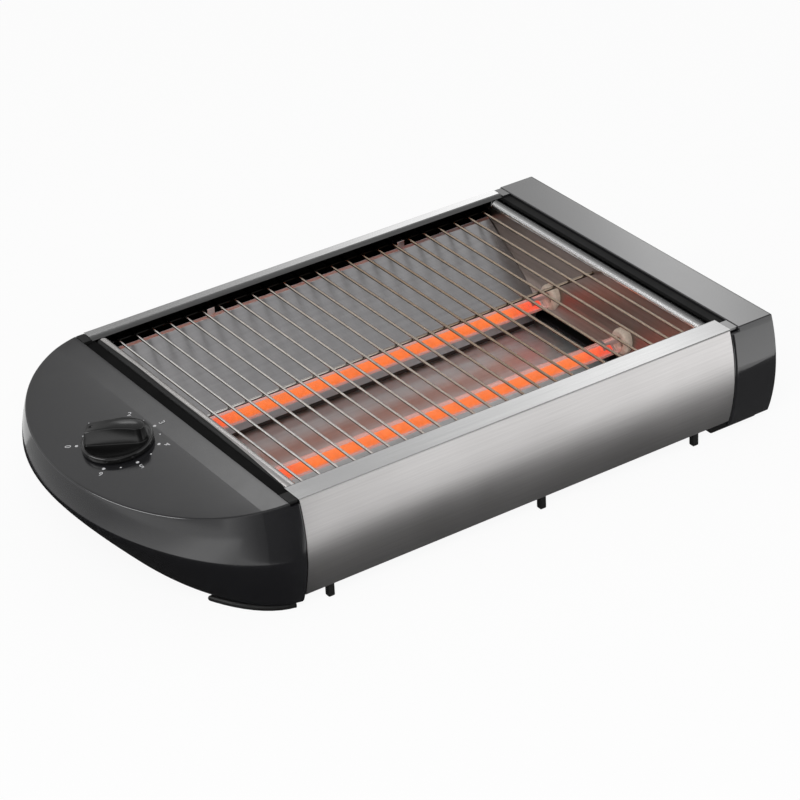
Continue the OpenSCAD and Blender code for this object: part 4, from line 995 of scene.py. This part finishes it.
# studio: pale floor, white surround, one soft box, and cards that show only in reflections
studio = {
    "floorSize": 12.0, "floorGlow": 0.92, "fill": 0.5,
    "key": {"spot": (-1.1, -1.3, 1.5), "aim": (0.02, 0, 0.04), "size": 1.3, "watts": 26.0},
    "surround": {"away": 2.5, "from": -130.0, "to": 85.0, "top": 2.2, "steps": 60},
    "dark": 0.35, "low": 0.6, "lowHeight": (0.45, 0.55), "lowTurn": (-20.0, 0.0),
    "band": [(-130.0, 1.0), (-10.0, 1.0), (6.0, 0.5), (16.0, 0.3), (24.0, 0.3), (28.5, 0.46), (31.0, 0.7),
             (33.5, 1.05), (36.0, 1.25), (38.0, 1.4), (40.0, 1.8), (42.0, 2.5), (44.0, 2.5), (46.0, 1.9),
             (49.0, 1.1), (55.0, 0.8), (85.0, 0.8)],  # shades by the turn round the part, in degrees
    "bandFrom": (0.95, 1.15), "bandTo": (1.62, 1.68),  # heights where the shades change
    "deck": 0.53, "strip": [(1.7, 1.05), (1.83, 1.2), (1.9, 1.6), (1.98, 2.3), (2.04, 2.6)],
    "stripLow": 1.7, "stripLean": 16.4, "stripEdge": (13.0, 15.5), "stripEnd": (26.0, 30.0), "beyond": 0.5,
    "edge": {"turn": (-100.0, -50.0), "turnSoft": 3.0, "height": (0.9, 2.0), "heightSoft": 0.05,
             "shade": 6.0},
    "roofs": [((-2.5, -0.6), (3.5, 3.0), 0.38), ((-3.0, -2.2), (3.5, -0.6), 0.3)],
    "under": {"corners": [(-0.05, -0.19), (0.6, -0.19), (0.6, 0.13)], "z": 0.0006,
              "shades": [(-0.3, 0.015), (-0.135, 0.015), (-0.1, 0.08), (0.6, 0.08)]},
    "wedge": {"tip": (-0.128, -0.1), "near": -0.165, "far": -1.0, "slopes": (-1.1, 0.42), "top": 0.6,
              "z": 0.0008,
              "shades": [(-1.1, 1.0), (-0.7, 0.55), (-0.3, 0.15), (0.42, 0.04)]},
    "sideCard": {"from": -60.0, "to": 58.0, "near": 0.05, "far": 0.3, "steps": 24, "z": 0.001,
                 "shades": [(-80.0, 0.4), (-10.0, 0.5), (10.0, 0.8), (25.0, 1.0), (40.0, 1.5), (52.0, 1.5),
                            (62.0, 1.0), (80.0, 1.0)]},
    "rightCard": {"corners": [(0.1, -0.2), (1.6, -0.2), (1.6, -1.6), (0.7, -1.6)], "z": 0.0005,
                  "shades": [(0.5, 1.0), (0.75, 1.25), (0.88, 1.38), (1.3, 1.45)]},
    "capReach": 0.082, "capHalf": 0.115,  # the control end's outline on the floor
}


def rayFactor(tree, strength=1.0):
    rays = tree.nodes.new("ShaderNodeLightPath")
    total = rays.outputs["Is Camera Ray"]
    for name in ("Is Glossy Ray", "Is Transmission Ray"):
        total = reckon(tree, "MAXIMUM", total, rays.outputs[name])
    return reckon(tree, "MULTIPLY", total, strength)


def stagePiece(name, verts, faces):
    mesh = bpy.data.meshes.new(name)
    mesh.from_pydata(verts, [], faces)
    plane = addObject(name, mesh)
    return plane


def reflectionCard(name, verts, faces, shade):  # a card that shows only in reflections
    card = stagePiece(name, verts, faces)
    finish, tree, shader = startFinish(name + "Shade")
    strength = shade(tree) if callable(shade) else shade
    shine = addNode(tree, "ShaderNodeEmission", {"Strength": strength})
    setSockets(tree.nodes["Material Output"], {"Surface": shine.outputs[0]})
    card.data.materials.append(finish)
    card.visible_camera = False
    card.visible_diffuse = False
    card.visible_shadow = False
    card.visible_transmission = False


def blendValue(tree, share, a, b):
    return reckon(tree, "ADD", a, reckon(tree, "MULTIPLY", share, reckon(tree, "SUBTRACT", b, a)))


def shadeCurve(tree, value, stops, most=4.0):
    low, high = stops[0][0], stops[-1][0]
    share = spread(tree, value, 0.0, 1.0, low, high)
    grey = tint(tree, share, [((at - low) / (high - low), v / most) for at, v in stops])
    return reckon(tree, "MULTIPLY", grey, most)


def degrees(tree, a, b):
    return reckon(tree, "MULTIPLY", reckon(tree, "ARCTAN2", a, b), 180 / math.pi)


def within(tree, value, limits, soft):  # 1 between the limits, 0 outside
    half = (limits[1] - limits[0]) / 2
    away = reckon(tree, "ABSOLUTE", reckon(tree, "SUBTRACT", value, sum(limits) / 2))
    return spread(tree, away, 1.0, 0.0, half - soft, half)


def surroundShade(tree):
    s, e = studio, studio["edge"]
    turn, height = degrees(tree, axisValue(tree, "X"), axisValue(tree, "Y")), axisValue(tree, "Z")
    rise = reckon(tree, "SUBTRACT", height, s["stripLow"])
    lean = reckon(tree, "SUBTRACT", turn, reckon(tree, "MULTIPLY", rise, s["stripLean"]))
    strip = shadeCurve(tree, height, s["strip"])
    upper = blendValue(tree, spread(tree, lean, 0.0, 1.0, *s["stripEdge"]), s["deck"], strip)
    upper = blendValue(tree, spread(tree, lean, 0.0, 1.0, *s["stripEnd"]), upper, s["beyond"])
    foot = spread(tree, turn, s["low"], s["dark"], *s["lowTurn"])
    lower = blendValue(tree, spread(tree, height, 1.0, 0.0, *s["lowHeight"]), s["dark"], foot)
    band = shadeCurve(tree, turn, s["band"])
    total = blendValue(tree, spread(tree, height, 0.0, 1.0, *s["bandFrom"]), lower, band)
    total = blendValue(tree, spread(tree, height, 0.0, 1.0, *s["bandTo"]), total, upper)
    inside = within(tree, turn, e["turn"], e["turnSoft"])
    level = within(tree, height, e["height"], e["heightSoft"])
    return blendValue(tree, reckon(tree, "MULTIPLY", inside, level), total, e["shade"])


def wedgeShade(tree):
    w = studio["wedge"]
    across = reckon(tree, "SUBTRACT", axisValue(tree, "X"), w["tip"][0])
    ahead = reckon(tree, "SUBTRACT", w["tip"][1], axisValue(tree, "Y"))
    return shadeCurve(tree, reckon(tree, "DIVIDE", across, ahead), w["shades"])


def underShade(tree):
    return shadeCurve(tree, axisValue(tree, "X"), studio["under"]["shades"])


def rightShade(tree):
    ahead = reckon(tree, "MULTIPLY", axisValue(tree, "Y"), -1.0)
    slope = reckon(tree, "DIVIDE", axisValue(tree, "X"), ahead)
    return shadeCurve(tree, slope, studio["rightCard"]["shades"])


def sideShade(tree):
    across = reckon(tree, "SUBTRACT", toaster["xLeft"] * mm, axisValue(tree, "X"))
    turn = degrees(tree, reckon(tree, "MULTIPLY", axisValue(tree, "Y"), -1.0), across)
    return shadeCurve(tree, turn, studio["sideCard"]["shades"])


def roundControl(angle, out):  # a spot beside the control end, at an angle in degrees
    a = math.radians(angle)
    reach, half = studio["capReach"] + out, studio["capHalf"] + out
    return toaster["xLeft"] * mm - reach * math.cos(a), -half * math.sin(a)


def flatCard(name, outline, z, shade):
    reflectionCard(name, [(x, y, z) for x, y in outline], [list(range(len(outline)))], shade)


def buildWorld():
    world = bpy.data.worlds.new("studioWorld")
    bpy.context.scene.world = world
    world.use_nodes = True
    tree = world.node_tree
    tree.nodes.clear()
    dim = addNode(tree, "ShaderNodeBackground", {"Color": (1, 1, 1, 1), "Strength": studio["fill"]})
    white = addNode(tree, "ShaderNodeBackground", {"Color": (1, 1, 1, 1), "Strength": 1.0})
    sides = {0: rayFactor(tree), 1: dim.outputs[0], 2: white.outputs[0]}
    blend = addNode(tree, "ShaderNodeMixShader", sides)
    addNode(tree, "ShaderNodeOutputWorld", {"Surface": blend.outputs[0]})


def buildFloor():
    f = studio["floorSize"]
    corners = [(x, y, 0) for x, y in rectangle((-f, -f), (f, f))]
    floor = stagePiece("studioFloor", corners, [[0, 1, 2, 3]])
    finish, tree, shader = startFinish("paleFloor")
    setSockets(shader, {"Base Color": (0.9, 0.9, 0.9, 1), "Roughness": 0.9, "Specular IOR Level": 0.0})
    shine = tree.nodes.new("ShaderNodeEmission")
    sides = {0: rayFactor(tree, studio["floorGlow"]), 1: shader.outputs[0], 2: shine.outputs[0]}
    blend = addNode(tree, "ShaderNodeMixShader", sides)
    setSockets(tree.nodes["Material Output"], {"Surface": blend.outputs[0]})
    floor.data.materials.append(finish)


def bandFaces(pairs):  # faces of a band of paired points
    return [[2 * i, 2 * i + 2, 2 * i + 3, 2 * i + 1] for i in range(pairs)]


def buildCards():
    s, verts, r = studio, [], studio["surround"]
    for i in range(r["steps"] + 1):
        a = math.radians(mix(r["from"], r["to"], i / r["steps"]))
        verts += [(r["away"] * math.sin(a), r["away"] * math.cos(a), z) for z in (0.0, r["top"])]
    reflectionCard("surroundCard", verts, bandFaces(r["steps"]), surroundShade)
    for i, (low, high, shade) in enumerate(s["roofs"]):
        flatCard("roofCard%d" % i, rectangle(low, high), r["top"], shade)
    c = s["sideCard"]
    outline = [roundControl(angle, c["near"]) for angle in range(-90, 91, 5)]  # then straight along the bed
    flatCard("underCard", outline + s["under"]["corners"], s["under"]["z"], underShade)
    flatCard("rightCard", s["rightCard"]["corners"], s["rightCard"]["z"], rightShade)
    w = s["wedge"]
    (tipX, tipY), corners = w["tip"], []
    for y in (w["near"], w["far"]):
        corners += [(tipX + slope * (tipY - y), y) for slope in w["slopes"]]
    reflectionCard("wedgeCard", [(x, y, w["z"]) for x, y in corners], [[0, 1, 3, 2]], wedgeShade)
    stand = [(x, y, z) for z in (0.0, w["top"]) for x, y in corners[2:]]
    reflectionCard("standCard", stand, [[0, 1, 3, 2]], wedgeShade)
    verts = []
    for i in range(c["steps"] + 1):
        angle = mix(c["from"], c["to"], i / c["steps"])
        verts += [(*roundControl(angle, out), c["z"]) for out in (c["near"], c["far"])]
    reflectionCard("sideCard", verts, bandFaces(c["steps"]), sideShade)


def buildKey():
    k = studio["key"]
    key = addObject("keyBox", bpy.data.lights.new("keyBox", "AREA"))
    key.data.size, key.data.energy = k["size"], k["watts"]
    key.location = k["spot"]
    key.rotation_euler = (Vector(k["aim"]) - Vector(k["spot"])).to_track_quat("-Z", "Y").to_euler()
    key.visible_glossy = False


buildWorld()
buildFloor()
buildCards()
buildKey()
bpy.context.scene.view_settings.view_transform = "Standard"
print("studio and camera set")

bpy.context.view_layer.update()
